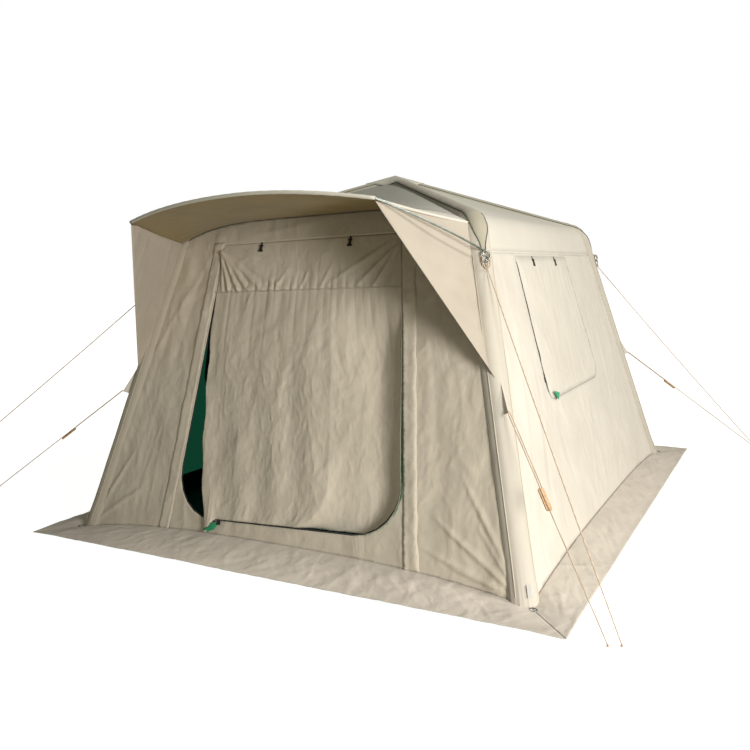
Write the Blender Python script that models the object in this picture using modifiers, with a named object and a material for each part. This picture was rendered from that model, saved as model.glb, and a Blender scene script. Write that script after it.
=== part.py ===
"""Inflatable cube tent.

Four air beams rise in fabric sleeves from the corners, bend at the shoulders and meet at a hub.
Canvas walls and roof panels hang between them. A bent steel pole, hinged at the two front
shoulders, carries a porch awning with a wing at each side. Units are metres, +Z is up, the door
faces -Y, and the origin is on the ground in the middle of the plan.
"""
import bpy
import bmesh
from math import atan, cos, hypot, pi, radians, sin, sqrt, tan
from mathutils import Matrix, Vector
from mathutils.geometry import delaunay_2d_cdt

# Plan and heights of the pitched tent
BASE_WIDTH = 2.81
BASE_DEPTH = 3.13
EAVE_WIDTH = 2.066
EAVE_DEPTH = 2.158
EAVE_HEIGHT = 1.555
APEX_HEIGHT = 2.115
ROOF_PITCH = radians(14.36)
SKIRT_WIDTH = 0.218

# Fabric, and the gaps that separate pieces
FABRIC = 0.002
SEAT = 0.0003
SEAM = 0.0008
SEWN = 0.0005
FOOT = 0.003
OVERRUN = 0.02
WELD = 0.00001
INSIDE_TRIANGLES = 1

# Air beams, sleeves and hub
SLEEVE_RADIUS = 0.065
SLEEVE_WALL = 0.0015
SHOULDER_RADIUS = 0.135
SHOULDER_STEPS = 7
HUB_RADIUS = 0.10
HUB_HEIGHT = 0.145
HUB_EDGE = 0.02
HUB_DEPTH = 0.045
SLEEVE_START = 0.118
PANEL_START = 0.165
CAP_HALF = 0.145
CAP_RISE = 0.0048
CAP_SINK = 0.022
CAP_ROWS = 4
CAP_STEPS = 32

# Top of the front wall, an arch that the awning springs from
ARCH_CROWN = 1.805
ARCH_SPRING = 1.70
ARCH_POWER = 4.5
ARCH_COLUMNS = 16

# Awning pole, measured in its own slanted plane from the hinge line at the front shoulders
POLE_RADIUS = 0.0055
POLE_SLOPE = radians(23.6)
POLE_BALL = 0.009
HOOK_HEIGHT = 1.527
TIP_X_SHARE = 0.728
TIP_REACH = 0.592
CREST_X_SHARE = 0.0774
CREST_REACH = 0.745
ARM_BOW = 0.022
ARM_STEPS = 7
BOW_STEPS = 22
HEM_RADIUS = 0.0088
HEM_WALL = 0.0012

# Awning fabric and wings
AWNING_ROWS = 4
AWNING_LIFT = 0.0024
WING_ROWS = 8
WING_COLUMNS = 5
WING_LOW_HEIGHT = 0.932
WING_LOW_SIDE = 0.062
WING_LOW_REACH = 0.042
WING_DROP = 0.018
WING_ROOT = 0.04
WING_KNEE_SHARE = 0.2

# Door opening in the front wall, heights are vertical
DOOR_TOP = 1.675
DOOR_TOP_LEFT = -0.613
DOOR_TOP_RIGHT = 0.572
DOOR_SILL_LEFT = 0.140
DOOR_SILL_RIGHT = 0.190
DOOR_LOW_LEFT = -0.718
DOOR_LOW_RIGHT = 0.762
DOOR_CORNER = 0.26
CORNER_STEPS = 6
DOOR_GAP = 0.0045
GATHER_HEIGHT = 1.395
SLACK_X_SHARES = ((1.395, 0.0), (1.10, 0.18), (0.784, 0.46), (0.565, 0.60), (0.296, 0.76), (0.10, 1.0))
SLACK_WIDTH = 0.20
DOOR_COLUMNS = 44
DOOR_ROWS = 8
HEADER_ROWS = 4
GATHERS = 11
GATHER_DEPTH = 0.013
SEAM_DEPTH = 0.004
FOLDS = 5
FOLD_DEPTH = 0.024
FOLD_DRIFT_SHARE = 0.14

# Storm flaps beside the door
FLAP_WIDTH = 0.075
FLAP_TOP = 1.69
FLAP_FOOT = 0.065
FLAP_STEP = 0.006

# Zip tapes and their sliders
TAPE_OUT = 0.009
TAPE_IN = 0.008
TAPE = 0.001
SLIDER_LENGTH = 0.028
SLIDER_WIDTH = 0.010
SLIDER_DEPTH = 0.005
PULL_LENGTH = 0.035
PULL_WIDTH = 0.006

# Window in each side wall: places along the wall are measured from its middle, front negative
WINDOW_TOP = 1.535
WINDOW_SILL = 0.752
WINDOW_FRONT = -0.632
WINDOW_BACK_TOP = 0.350
WINDOW_BACK_LOW = 0.480
WINDOW_CORNER = 0.09
WINDOW_GAP = 0.004
MESH_MARGIN = 0.018

# Toggles on tape loops
TOGGLE_HEIGHT = 0.040
TOGGLE_WIDTH = 0.026
TOGGLE_WAIST = 0.013
TOGGLE_DEPTH = 0.008
LOOP_LENGTH = 0.016
LOOP_WIDTH = 0.010
WAIST_SHARES = (0.35, 0.55, 0.85)
DOOR_TOGGLES = (-0.336, 0.264)
WINDOW_TOGGLES = (-0.345, 0.085)

# Floor tray
TRAY_LIP = 0.13
TRAY_INSET = 0.0125
TRAY_WALL = 0.003
SKIRT_TUCK = 0.0105
SKIRT_SLIT_START = 0.014
SKIRT_SLIT = 0.002
SKIRT_SLIT_MOUTH = 0.006

# Corner tabs, rings and guy gussets
TAB_WIDTH = 0.020
TAB_RISE = 0.016
TAB_FALL = 0.052
RING_RADIUS = 0.017
RING_WIRE = 0.0028
RING_DROP = 0.040
BASE_TAB_LOW = 0.020
BASE_TAB_HIGH = 0.075
BASE_RING_REACH = 0.026
GUSSET_TOP = 0.93
GUSSET_LOW = 0.775
GUSSET_REACH = 0.036
GUSSET_SHARE = 0.62

# Guy lines and wooden runners
LINE_RADIUS = 0.0025
KNOT_RADIUS = 0.006
HITCH_RADIUS = 0.0042
LINE_STEPS = 18
LINE_SAG = 0.012
STRAND_SPREAD = 0.011
RUNNER_LENGTH = 0.106
RUNNER_WIDTH = 0.027
RUNNER_DEPTH = 0.008
RUNNER_HOLE = 0.003
RUNNER_REACH = 0.385
TOP_PEGS = {"front_right": (1.829, -1.747), "front_left": (-2.500, -2.320), "back_right": (2.085, 2.060)}
MID_PEGS = {"front_right": (1.781, -1.770), "front_left": (-2.242, -1.919), "back_right": (2.085, 2.015)}

# Inflation valve low on the back left leg
VALVE_HEIGHT = 0.34
VALVE_RADIUS = 0.019
VALVE_LENGTH = 0.010
VALVE_CAP_RADIUS = 0.015
VALVE_CAP_LENGTH = 0.009

CORNERS = {"front_right": (1, -1), "front_left": (-1, -1), "back_right": (1, 1), "back_left": (-1, 1)}

# Worked out from the sizes above
SIDE_INSET = (BASE_WIDTH - EAVE_WIDTH) / 2
END_INSET = (BASE_DEPTH - EAVE_DEPTH) / 2
SIDE_LEAN = atan(SIDE_INSET / EAVE_HEIGHT)
END_LEAN = atan(END_INSET / EAVE_HEIGHT)
BEAM_INSET = SLEEVE_RADIUS / sqrt(2)
TIP_X = EAVE_WIDTH / 2 * TIP_X_SHARE
CREST_X = EAVE_WIDTH / 2 * CREST_X_SHARE
AIR_RADIUS = SLEEVE_RADIUS - SLEEVE_WALL - 2 * SEAT
HALF = FABRIC / 2

COLORS = {
    "canvas": (0.66, 0.60, 0.49), "roof": (0.55, 0.52, 0.43), "frame": (0.16, 0.17, 0.18),
    "lining": (0.02, 0.10, 0.06), "floor": (0.02, 0.02, 0.025), "mesh": (0.08, 0.09, 0.08),
    "zip": (0.04, 0.04, 0.04), "steel": (0.55, 0.58, 0.56), "toggle": (0.02, 0.02, 0.02),
    "rope": (0.66, 0.52, 0.38), "wood": (0.62, 0.45, 0.28), "webbing": (0.55, 0.54, 0.50),
}
METALS = {"steel"}


def clear_scene():
    for item in list(bpy.data.objects):
        bpy.data.objects.remove(item, do_unlink=True)


def make_materials():
    materials = {}
    for name, color in COLORS.items():
        material = bpy.data.materials.new(name)
        material.use_nodes = True
        shader = material.node_tree.nodes["Principled BSDF"]
        shader.inputs["Base Color"].default_value = (*color, 1.0)
        shader.inputs["Metallic"].default_value = 1.0 if name in METALS else 0.0
        shader.inputs["Roughness"].default_value = 0.3 if name in METALS else 0.85
        materials[name] = material
    return materials


def make_collection(name):
    collection = bpy.data.collections.new(name)
    bpy.context.scene.collection.children.link(collection)
    return collection


clear_scene()
MATERIALS = make_materials()
TENT = make_collection("inflatable_cube_tent")
CUTTERS = make_collection("cutters")


def add_object(name, data, material):
    item = bpy.data.objects.new(name, data)
    if material:
        data.materials.append(MATERIALS[material])
    TENT.objects.link(item)
    return item


def mesh_object(name, bm, material, smooth=False):
    mesh = bpy.data.meshes.new(name)
    bm.to_mesh(mesh)
    bm.free()
    if smooth:
        mesh.shade_smooth()
    return add_object(name, mesh, material)


def evaluated_mesh(item):
    bpy.context.view_layer.update()
    graph = bpy.context.evaluated_depsgraph_get()
    mesh = bpy.data.meshes.new_from_object(item.evaluated_get(graph))
    mesh.transform(item.matrix_world)
    return mesh


def as_mesh(item, material=None):
    """A welded mesh object, in world space, in place of a curve or a modified object."""
    mesh = evaluated_mesh(item)
    bm = bmesh.new()
    bm.from_mesh(mesh)
    bmesh.ops.remove_doubles(bm, verts=bm.verts, dist=WELD)
    bmesh.ops.recalc_face_normals(bm, faces=bm.faces)
    name = item.name
    bpy.data.objects.remove(item)
    return mesh_object(name, bm, material)


def as_cutter(item):
    """Move a helper out of the tent, where it only shapes other pieces."""
    for collection in list(item.users_collection):
        collection.objects.unlink(item)
    CUTTERS.objects.link(item)
    item.hide_render = True
    item.display_type = 'WIRE'
    return item


def cut(item, cutter):
    modifier = item.modifiers.new("cut", 'BOOLEAN')
    modifier.operation = 'DIFFERENCE'
    modifier.object = cutter
    return item


def join(item, helper):
    """Make a helper's solid part of an object."""
    modifier = item.modifiers.new("join", 'BOOLEAN')
    modifier.operation = 'UNION'
    modifier.object = as_cutter(helper)
    return item


def tube(name, points, radius, material, sides=8, caps=True):
    """Round tube along a polyline; the side count is 4 plus twice the bevel resolution."""
    curve = bpy.data.curves.new(name, 'CURVE')
    curve.dimensions = '3D'
    curve.twist_mode = 'MINIMUM'
    curve.bevel_depth = radius
    curve.bevel_resolution = (sides - 4) // 2
    curve.use_fill_caps = caps
    spline = curve.splines.new('POLY')
    spline.points.add(len(points) - 1)
    for target, point in zip(spline.points, points):
        target.co = (*point, 1.0)
    return add_object(name, curve, material)


def solidify(item, thickness, offset=0.0):
    modifier = item.modifiers.new("thickness", 'SOLIDIFY')
    modifier.thickness = thickness
    modifier.offset = offset
    modifier.use_even_offset = True
    return item


def loft(name, rows, material, thickness=FABRIC):
    """Sheet through rows of points, given its thickness on both sides."""
    bm = bmesh.new()
    grid = [[bm.verts.new(point) for point in row] for row in rows]
    for upper, lower in zip(grid, grid[1:]):
        for column in range(len(upper) - 1):
            bm.faces.new((upper[column], upper[column + 1], lower[column + 1], lower[column]))
    bmesh.ops.remove_doubles(bm, verts=bm.verts, dist=WELD)
    bmesh.ops.recalc_face_normals(bm, faces=bm.faces)
    return solidify(mesh_object(name, bm, material, smooth=True), thickness)


def holds(outline, point):
    """Whether an outline goes round a point."""
    inside = False
    for start, end in zip(outline, list(outline[1:]) + [outline[0]]):
        if (start.y > point.y) != (end.y > point.y):
            if point.x < mix(start.x, end.x, (point.y - start.y) / (end.y - start.y)):
                inside = not inside
    return inside


def slab(name, outlines, thickness, frame, lift, material):
    """Flat outline, with any holes, laid in a frame at a height along the frame's normal."""
    points = []
    edges = []
    for outline in outlines:
        first = len(points)
        count = len(outline)
        points += [Vector((point[0], point[1])) for point in outline]
        edges += [(first + index, first + (index + 1) % count) for index in range(count)]
    places, _, faces, _, _, _ = delaunay_2d_cdt(points, edges, [], INSIDE_TRIANGLES, WELD)
    bm = bmesh.new()
    low = [bm.verts.new((place.x, place.y, -thickness / 2)) for place in places]
    high = [bm.verts.new((place.x, place.y, thickness / 2)) for place in places]
    sides = set()
    for face in faces:
        middle = sum((places[index] for index in face), Vector((0, 0))) / len(face)
        if any(holds(hole, middle) for hole in outlines[1:]):
            continue
        bm.faces.new([high[index] for index in face])
        bm.faces.new([low[index] for index in reversed(face)])
        sides.update(zip(face, face[1:] + face[:1]))
    for start, end in sorted(sides):
        if (end, start) not in sides:
            bm.faces.new((low[start], low[end], high[end], high[start]))
    item = mesh_object(name, bm, material)
    item.matrix_world = frame @ Matrix.Translation((0.0, 0.0, lift))
    return item


def block(name, size, frame, material, bevel=0.0):
    bm = bmesh.new()
    bmesh.ops.create_cube(bm, size=1.0, matrix=Matrix.Diagonal((*size, 1.0)))
    item = mesh_object(name, bm, material)
    item.matrix_world = frame
    if bevel:
        modifier = item.modifiers.new("edge", 'BEVEL')
        modifier.width = bevel
        modifier.segments = 1
    return item


def ball(name, radius, place, material):
    bm = bmesh.new()
    bmesh.ops.create_uvsphere(bm, u_segments=10, v_segments=6, radius=radius)
    item = mesh_object(name, bm, material, smooth=True)
    item.matrix_world = Matrix.Translation(place)
    return item


def ring(name, radius, wire, frame, material):
    bpy.ops.mesh.primitive_torus_add(
        major_radius=radius, minor_radius=wire, major_segments=20, minor_segments=6)
    item = bpy.context.object
    item.name = name
    for collection in list(item.users_collection):
        collection.objects.unlink(item)
    TENT.objects.link(item)
    item.data.materials.append(MATERIALS[material])
    item.matrix_world = frame
    return item


def turned(name, profile, frame, material, steps=32):
    """Solid or shell from a profile of (radius, height) points, listed down its outer side."""
    bm = bmesh.new()
    points = [bm.verts.new((radius, 0.0, height)) for radius, height in profile]
    for first, second in zip(points, points[1:]):
        bm.edges.new((first, second))
    item = mesh_object(name, bm, None)
    modifier = item.modifiers.new("turn", 'SCREW')
    modifier.steps = steps
    modifier.render_steps = steps
    modifier.use_merge_vertices = True
    modifier.merge_threshold = WELD
    item.matrix_world = frame
    return as_mesh(item, material)


def frame_from(origin, across, up):
    """Matrix whose X runs across, Y runs up and Z is their normal."""
    x = across.normalized()
    z = x.cross(up).normalized()
    y = z.cross(x)
    matrix = Matrix((x, y, z)).transposed().to_4x4()
    matrix.translation = origin
    return matrix


def mix(first, second, share):
    return first + (second - first) * share


# Wall planes

def wall_frame(side):
    """Frame in a wall's middle plane: X along the wall, Y up it and Z out of the tent."""
    lean = END_LEAN if side in ("front", "back") else SIDE_LEAN
    along = {"front": Vector((1, 0, 0)), "back": Vector((-1, 0, 0)),
             "right": Vector((0, 1, 0)), "left": Vector((0, -1, 0))}[side]
    inward = Vector((0, 0, 1)).cross(along)
    reach = BASE_DEPTH / 2 if side in ("front", "back") else BASE_WIDTH / 2
    up = Vector((0, 0, cos(lean))) + inward * sin(lean)
    return frame_from(inward * -reach, along, up)


def up_wall(side, height):
    """Distance up a wall's plane at a vertical height."""
    lean = END_LEAN if side in ("front", "back") else SIDE_LEAN
    return height / cos(lean)


def wall_half(side, height):
    """Half the length of a wall, to the beam's centre line, at a height."""
    base = BASE_WIDTH if side in ("front", "back") else BASE_DEPTH
    inset = SIDE_INSET if side in ("front", "back") else END_INSET
    return base / 2 - BEAM_INSET - inset * height / EAVE_HEIGHT


# Beam paths

def leg_point(corner, height):
    x_sign, y_sign = CORNERS[corner]
    return Vector((x_sign * wall_half("front", height), y_sign * wall_half("right", height), height))


def roof_height(reach):
    """Height of a beam's centre line over the roof at a distance from the hub's axis."""
    return APEX_HEIGHT - SLEEVE_RADIUS / cos(ROOF_PITCH) - reach * tan(ROOF_PITCH)


def knee_point(corner):
    """Where the straight leg and the straight roof stretch would meet."""
    leg = leg_point(corner, EAVE_HEIGHT)
    for _ in CORNERS:
        leg = leg_point(corner, roof_height(hypot(leg.x, leg.y)))
    return leg


def beam_path(corner, foot, hub_end):
    """Points and directions up a leg, round the shoulder and in to a distance from the hub."""
    knee = knee_point(corner)
    base = leg_point(corner, foot)
    up = (knee - base).normalized()
    inward = (Vector((0, 0, roof_height(0))) - knee).normalized()
    turn = up.angle(inward)
    start = knee - up * SHOULDER_RADIUS * tan(turn / 2)
    centre = knee + (inward - up).normalized() * SHOULDER_RADIUS / cos(turn / 2)
    axis = up.cross(inward).normalized()
    stations = [(base, up)]
    for step in range(SHOULDER_STEPS + 1):
        spin = Matrix.Rotation(turn * step / SHOULDER_STEPS, 3, axis)
        stations.append((centre + spin @ (start - centre), spin @ up))
    run = (hypot(knee.x, knee.y) - hub_end) / hypot(inward.x, inward.y)
    stations.append((knee + inward * run, inward))
    return stations


def path_points(corner, foot, hub_end):
    return [point for point, _ in beam_path(corner, foot, hub_end)]


def leg_axes(corner):
    """Directions up a leg, out from the tent square to it, and sideways."""
    up = (knee_point(corner) - leg_point(corner, 0)).normalized()
    x_sign, y_sign = CORNERS[corner]
    side = Vector((x_sign, y_sign, 0)).cross(up).normalized()
    return up, up.cross(side).normalized(), side


def make_cutters(name, radius):
    """Beam shapes that trim whatever meets them."""
    cutters = {}
    for corner in CORNERS:
        points = path_points(corner, -OVERRUN, SLEEVE_START)
        cutters[corner] = as_cutter(as_mesh(tube(name + corner, points, radius, None, sides=16)))
    return cutters


BEAM_CUTTERS = make_cutters("cutter_", SLEEVE_RADIUS + SEAT)
SEWN_CUTTERS = make_cutters("sewn_cutter_", SLEEVE_RADIUS - SEWN)


# Air frame

def make_air_frame():
    """Four inflated tubes that meet a hub block under the crown."""
    for corner in CORNERS:
        end = HUB_RADIUS + AIR_RADIUS * sin(ROOF_PITCH) + SEAT
        points = path_points(corner, -OVERRUN, end)
        beam = as_mesh(tube("air_beam_" + corner, points, AIR_RADIUS, None, sides=16), "frame")
        flatten_foot(beam, corner, 0.0)
    top = APEX_HEIGHT - HUB_DEPTH
    low = top - HUB_HEIGHT
    profile = [(0, top), (HUB_RADIUS - HUB_EDGE, top), (HUB_RADIUS, top - HUB_EDGE),
               (HUB_RADIUS, low + HUB_EDGE), (HUB_RADIUS - HUB_EDGE, low), (0, low)]
    turned("crown_hub", profile, Matrix.Identity(4), "frame")


def flatten_foot(item, corner, height):
    """Trim a leg's slanted foot level at a height."""
    size = 4 * SLEEVE_RADIUS
    foot = leg_point(corner, 0)
    place = Matrix.Translation((foot.x, foot.y, height - size / 2))
    cut(item, as_cutter(block("foot_" + item.name, (size, size, size), place, None)))


def cap_height(x, y):
    """Underside of the crown cap: a low pyramid whose sides sink towards the roof panels."""
    widest = max(abs(x), abs(y))
    reach = hypot(x, y)
    if reach < WELD:
        return APEX_HEIGHT + CAP_RISE
    sink = (1 - (2 * x * y / reach ** 2) ** 2) * (widest / CAP_HALF) ** 4 * CAP_SINK
    return APEX_HEIGHT + CAP_RISE - widest * sqrt(2) * tan(ROOF_PITCH) - sink


def make_crown_cap():
    """Fabric cap over the crossing of the sleeves."""
    rows = []
    for row in range(CAP_ROWS + 1):
        half = CAP_HALF * row / CAP_ROWS
        line = []
        for step in range(CAP_STEPS + 1):
            angle = 2 * pi * step / CAP_STEPS
            stretch = half / max(abs(cos(angle)), abs(sin(angle)))
            x = stretch * cos(angle)
            y = stretch * sin(angle)
            line.append(Vector((x, y, cap_height(x, y) + HALF)))
        rows.append(line)
    loft("crown_cap", rows, "roof")


# Roof panels

def panel_rail(corner, side):
    """Points beside one beam that a roof panel's end follows, from the hub to the eave."""
    lean = END_LEAN if side in ("front", "back") else SIDE_LEAN
    rise = BEAM_INSET * cos(lean)
    along = Vector((1, 0, 0)) if side in ("front", "back") else Vector((0, 1, 0))
    eave = EAVE_HEIGHT + SEAM / 2 - rise * sin(lean)
    rail = []
    for point, direction in reversed(beam_path(corner, eave, PANEL_START)):
        outward = along.cross(direction).normalized()
        rail.append(point + outward * (rise if outward.z > 0 else -rise))
    return rail


def make_roof_panel(side, first, second):
    """Panel ruled between two beams, over the shoulder and down to the eave seam."""
    rails = zip(panel_rail(first, side), panel_rail(second, side))
    rows = [[left, (left + right) / 2, right] for left, right in rails]
    item = loft("roof_" + side, rows, "roof")
    cut(item, BEAM_CUTTERS[first])
    cut(item, BEAM_CUTTERS[second])


def arch_point(share, back=0.0, lift=0.0):
    """Point on the arch, for a share from -1 at the left beam to 1 at the right one."""
    half = wall_half("front", ARCH_SPRING)
    height = ARCH_CROWN - (ARCH_CROWN - ARCH_SPRING) * abs(share) ** ARCH_POWER
    depth = BASE_DEPTH / 2 - height * tan(END_LEAN)
    return Vector((share * half, back - depth, height + lift))


def arch_shares():
    return [2 * column / ARCH_COLUMNS - 1 for column in range(ARCH_COLUMNS + 1)]


def make_front_roof():
    start = panel_rail("front_right", "front")[0]
    rows = []
    for row in range(AWNING_ROWS + 1):
        share = row / AWNING_ROWS
        line = []
        for across in arch_shares():
            top = Vector((across * start.x, start.y, start.z))
            line.append(mix(top, arch_point(across, SEAM / 2, AWNING_LIFT), share))
        rows.append(line)
    item = loft("roof_front", rows, "roof")
    cut(item, BEAM_CUTTERS["front_left"])
    cut(item, BEAM_CUTTERS["front_right"])


# Walls

def round_corner(before, corner, after, radius):
    """Arc of points that rounds one corner of an outline."""
    corner = Vector(corner)
    first = (Vector(before) - corner).normalized()
    second = (Vector(after) - corner).normalized()
    half_angle = first.angle(second) / 2
    centre = corner + (first + second).normalized() * radius / sin(half_angle)
    start = corner + first * radius / tan(half_angle) - centre
    sweep = pi - 2 * half_angle
    if first.x * second.y - first.y * second.x > 0:
        sweep = -sweep
    points = []
    for step in range(CORNER_STEPS + 1):
        angle = sweep * step / CORNER_STEPS
        points.append(centre + Vector((start.x * cos(angle) - start.y * sin(angle),
                                       start.x * sin(angle) + start.y * cos(angle))))
    return points


def grow(outline, distance):
    """Outline moved outward by a distance; the points run anticlockwise."""
    grown = []
    count = len(outline)
    for index in range(count):
        point = Vector(outline[index])
        before = (point - Vector(outline[index - 1])).normalized()
        after = (Vector(outline[(index + 1) % count]) - point).normalized()
        normal = Vector((before.y + after.y, -before.x - after.x))
        normal.normalize()
        stretch = max(normal.dot(Vector((before.y, -before.x))), 0.5)
        grown.append(point + normal * distance / stretch)
    return grown


def door_outline():
    """Door opening in the front wall's frame, anticlockwise from the top left."""
    top = up_wall("front", DOOR_TOP)
    left = (DOOR_LOW_LEFT, up_wall("front", DOOR_SILL_LEFT))
    right = (DOOR_LOW_RIGHT, up_wall("front", DOOR_SILL_RIGHT))
    upper_left = (DOOR_TOP_LEFT, top)
    upper_right = (DOOR_TOP_RIGHT, top)
    outline = [Vector(upper_left)]
    outline += round_corner(upper_left, left, right, DOOR_CORNER)
    outline += round_corner(left, right, upper_right, DOOR_CORNER)
    outline.append(Vector(upper_right))
    return outline


def window_outline(hand):
    """Window opening in a side wall's frame; hand is 1 on the right wall and -1 on the left."""
    top = up_wall("right", WINDOW_TOP)
    sill = up_wall("right", WINDOW_SILL)
    front_top = (hand * WINDOW_FRONT, top)
    front_low = (hand * WINDOW_FRONT, sill)
    back_low = (hand * WINDOW_BACK_LOW, sill)
    back_top = (hand * WINDOW_BACK_TOP, top)
    outline = [Vector(front_top)]
    outline += round_corner(front_top, front_low, back_low, WINDOW_CORNER)
    outline += round_corner(front_low, back_low, back_top, WINDOW_CORNER)
    outline.append(Vector(back_top))
    return outline if hand > 0 else outline[::-1]


def wall_outline(side):
    """Outline of a wall, to the beams' centre lines, up to the eave seam or the arch."""
    low = up_wall(side, FOOT)
    if side == "front":
        local = wall_frame("front").inverted()
        top = [(local @ arch_point(share)).to_2d() for share in reversed(arch_shares())]
    else:
        edge = EAVE_HEIGHT - SEAM / 2
        half = wall_half(side, edge)
        top = [Vector((half, up_wall(side, edge))), Vector((-half, up_wall(side, edge)))]
    half = wall_half(side, FOOT)
    return [Vector((-half, low)), Vector((half, low))] + top


def make_wall(side, first, second, opening=None, sewn=()):
    outlines = [wall_outline(side)]
    if opening:
        outlines.append(opening)
    item = slab("wall_" + side, outlines, FABRIC, wall_frame(side), 0.0, "canvas")
    for piece in sewn:
        join(item, piece)
    cut(item, BEAM_CUTTERS[first])
    cut(item, BEAM_CUTTERS[second])


def make_walls():
    make_wall("front", "front_left", "front_right", door_outline(), storm_flaps())
    make_wall("right", "front_right", "back_right", window_outline(1))
    make_wall("back", "back_right", "back_left")
    make_wall("left", "back_left", "front_left", window_outline(-1))


# Door

def slack(height):
    """How far the door's loose left edge is drawn in at a height."""
    for (high, more), (low, less) in zip(SLACK_X_SHARES, SLACK_X_SHARES[1:]):
        if height >= low:
            return SLACK_WIDTH * mix(less, more, (height - low) / (high - low))
    return SLACK_WIDTH


def corner_inset(rise):
    """How far a round corner stands in from its side, at a rise above the sill."""
    if rise >= DOOR_CORNER:
        return 0.0
    return DOOR_CORNER - sqrt(max(DOOR_CORNER ** 2 - (DOOR_CORNER - rise) ** 2, 0.0))


def door_edges(share):
    """Left and right ends of one row of the hanging door, as (x, vertical height)."""
    sill_left = DOOR_SILL_LEFT + 3 * DOOR_GAP
    sill_right = DOOR_SILL_RIGHT + DOOR_GAP
    left_height = mix(GATHER_HEIGHT, sill_left, share)
    right_height = mix(GATHER_HEIGHT, sill_right, share)
    left_side = mix(DOOR_LOW_LEFT, DOOR_TOP_LEFT,
                    (left_height - DOOR_SILL_LEFT) / (DOOR_TOP - DOOR_SILL_LEFT))
    right_side = mix(DOOR_LOW_RIGHT, DOOR_TOP_RIGHT,
                     (right_height - DOOR_SILL_RIGHT) / (DOOR_TOP - DOOR_SILL_RIGHT))
    left = left_side + DOOR_GAP + slack(left_height)
    right = right_side - DOOR_GAP - corner_inset(right_height - DOOR_SILL_RIGHT)
    return (left, left_height), (right, right_height)


def seam_fold(across):
    return SEAM_DEPTH * (1 - cos(2 * pi * GATHERS * across)) / 2


def door_fold(across, down):
    """Depth of the folds of the hanging door, outward from the wall's plane."""
    ramp = min(1.0, down * DOOR_ROWS / 2)
    gathers = GATHER_DEPTH * (1 - down) ** 2 * (1 - cos(2 * pi * GATHERS * across)) / 2
    wave = 2 * pi * FOLDS * (across - FOLD_DRIFT_SHARE * down)
    folds = FOLD_DEPTH * sqrt(down) * (1 - cos(wave)) / 2
    return mix(seam_fold(across), gathers + folds, ramp)


def door_row(left, right, left_height, right_height, depth):
    """Points across the door, for a fold depth at each share of its width."""
    place = wall_frame("front")
    line = []
    for column in range(DOOR_COLUMNS + 1):
        across = column / DOOR_COLUMNS
        height = up_wall("front", mix(left_height, right_height, across))
        line.append(place @ Vector((mix(left, right, across), height, depth(across))))
    return line


def make_door():
    """Door flap: a smooth header, a gathering seam, and folds that merge on the way down."""
    (seam_left, _), (seam_right, _) = door_edges(0)
    top = DOOR_TOP - SEAT
    rows = []
    for row in range(HEADER_ROWS):
        down = row / HEADER_ROWS
        height = mix(top, GATHER_HEIGHT, down)
        left = mix(DOOR_TOP_LEFT + DOOR_GAP, seam_left, down)
        right = mix(DOOR_TOP_RIGHT - DOOR_GAP, seam_right, down)
        rows.append(door_row(left, right, height, height, lambda across: seam_fold(across) * down ** 2))
    for row in range(DOOR_ROWS + 1):
        down = row / DOOR_ROWS
        (left, left_height), (right, right_height) = door_edges(down)
        rows.append(door_row(left, right, left_height, right_height,
                             lambda across: door_fold(across, down)))
    loft("door_panel", rows, "canvas")


def storm_flaps():
    """Strips sewn on the front wall, their inner edges along the door opening."""
    flaps = []
    for hand, top_x, low_x, sill in ((-1, DOOR_TOP_LEFT, DOOR_LOW_LEFT, DOOR_SILL_LEFT),
                                     (1, DOOR_TOP_RIGHT, DOOR_LOW_RIGHT, DOOR_SILL_RIGHT)):
        lean = (low_x - top_x) / (DOOR_TOP - sill)
        outline = []
        for height in (FLAP_FOOT, FLAP_TOP):
            inner = top_x + lean * (DOOR_TOP - height) + hand * FLAP_STEP
            edge = [Vector((inner, up_wall("front", height))),
                    Vector((inner + hand * FLAP_WIDTH, up_wall("front", height)))]
            outline += edge if not outline else edge[::-1]
        flaps.append(slab("storm_flap", [outline], FABRIC, wall_frame("front"), FABRIC - SEWN, None))
    return flaps


def make_tape(name, outline, side):
    """Zip tape behind the edge of an opening, open at the top."""
    lift = -(HALF + SEAT + TAPE / 2)
    outer = grow(outline, TAPE_OUT)
    inner = grow(outline, -TAPE_IN)
    top = max(point.y for point in outline)
    outer = [Vector((point.x, min(point.y, top))) for point in outer]
    inner = [Vector((point.x, min(point.y, top))) for point in inner]
    slab(name, [outer + inner[::-1]], TAPE, wall_frame(side), lift, "zip")


def make_windows():
    for side, hand in (("right", 1), ("left", -1)):
        outline = window_outline(hand)
        anticlockwise = outline
        top = up_wall(side, WINDOW_TOP)
        frame = wall_frame(side)
        cover = grow(anticlockwise, -WINDOW_GAP)
        cover = [Vector((point.x, top - SEAT if point.y > top - 2 * WINDOW_GAP else point.y))
                 for point in cover]
        slab("window_cover_" + side, [cover], FABRIC, frame, 0.0, "canvas")
        make_tape("window_zip_" + side, anticlockwise, side)
        screen = grow(anticlockwise, MESH_MARGIN)
        screen = [Vector((point.x, min(point.y, top))) for point in screen]
        lift = -(HALF + SEAT + TAPE + SEAT + HALF)
        slab("window_mesh_" + side, [screen], FABRIC, frame, lift, "mesh")


# Zip sliders

def make_slider(name, frame):
    """Slider body with its pull, lying on a tape; X runs along the tape and Z outward."""
    size = (SLIDER_LENGTH, SLIDER_WIDTH, SLIDER_DEPTH)
    body = block(name, size, frame @ Matrix.Translation((0, 0, SLIDER_DEPTH / 2)), "zip", bevel=TAPE)
    place = frame @ Matrix.Translation((PULL_LENGTH / 2, 0, SLIDER_DEPTH))
    join(body, block(name + "_pull", (PULL_LENGTH, PULL_WIDTH, 2 * TAPE), place, None))


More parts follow.
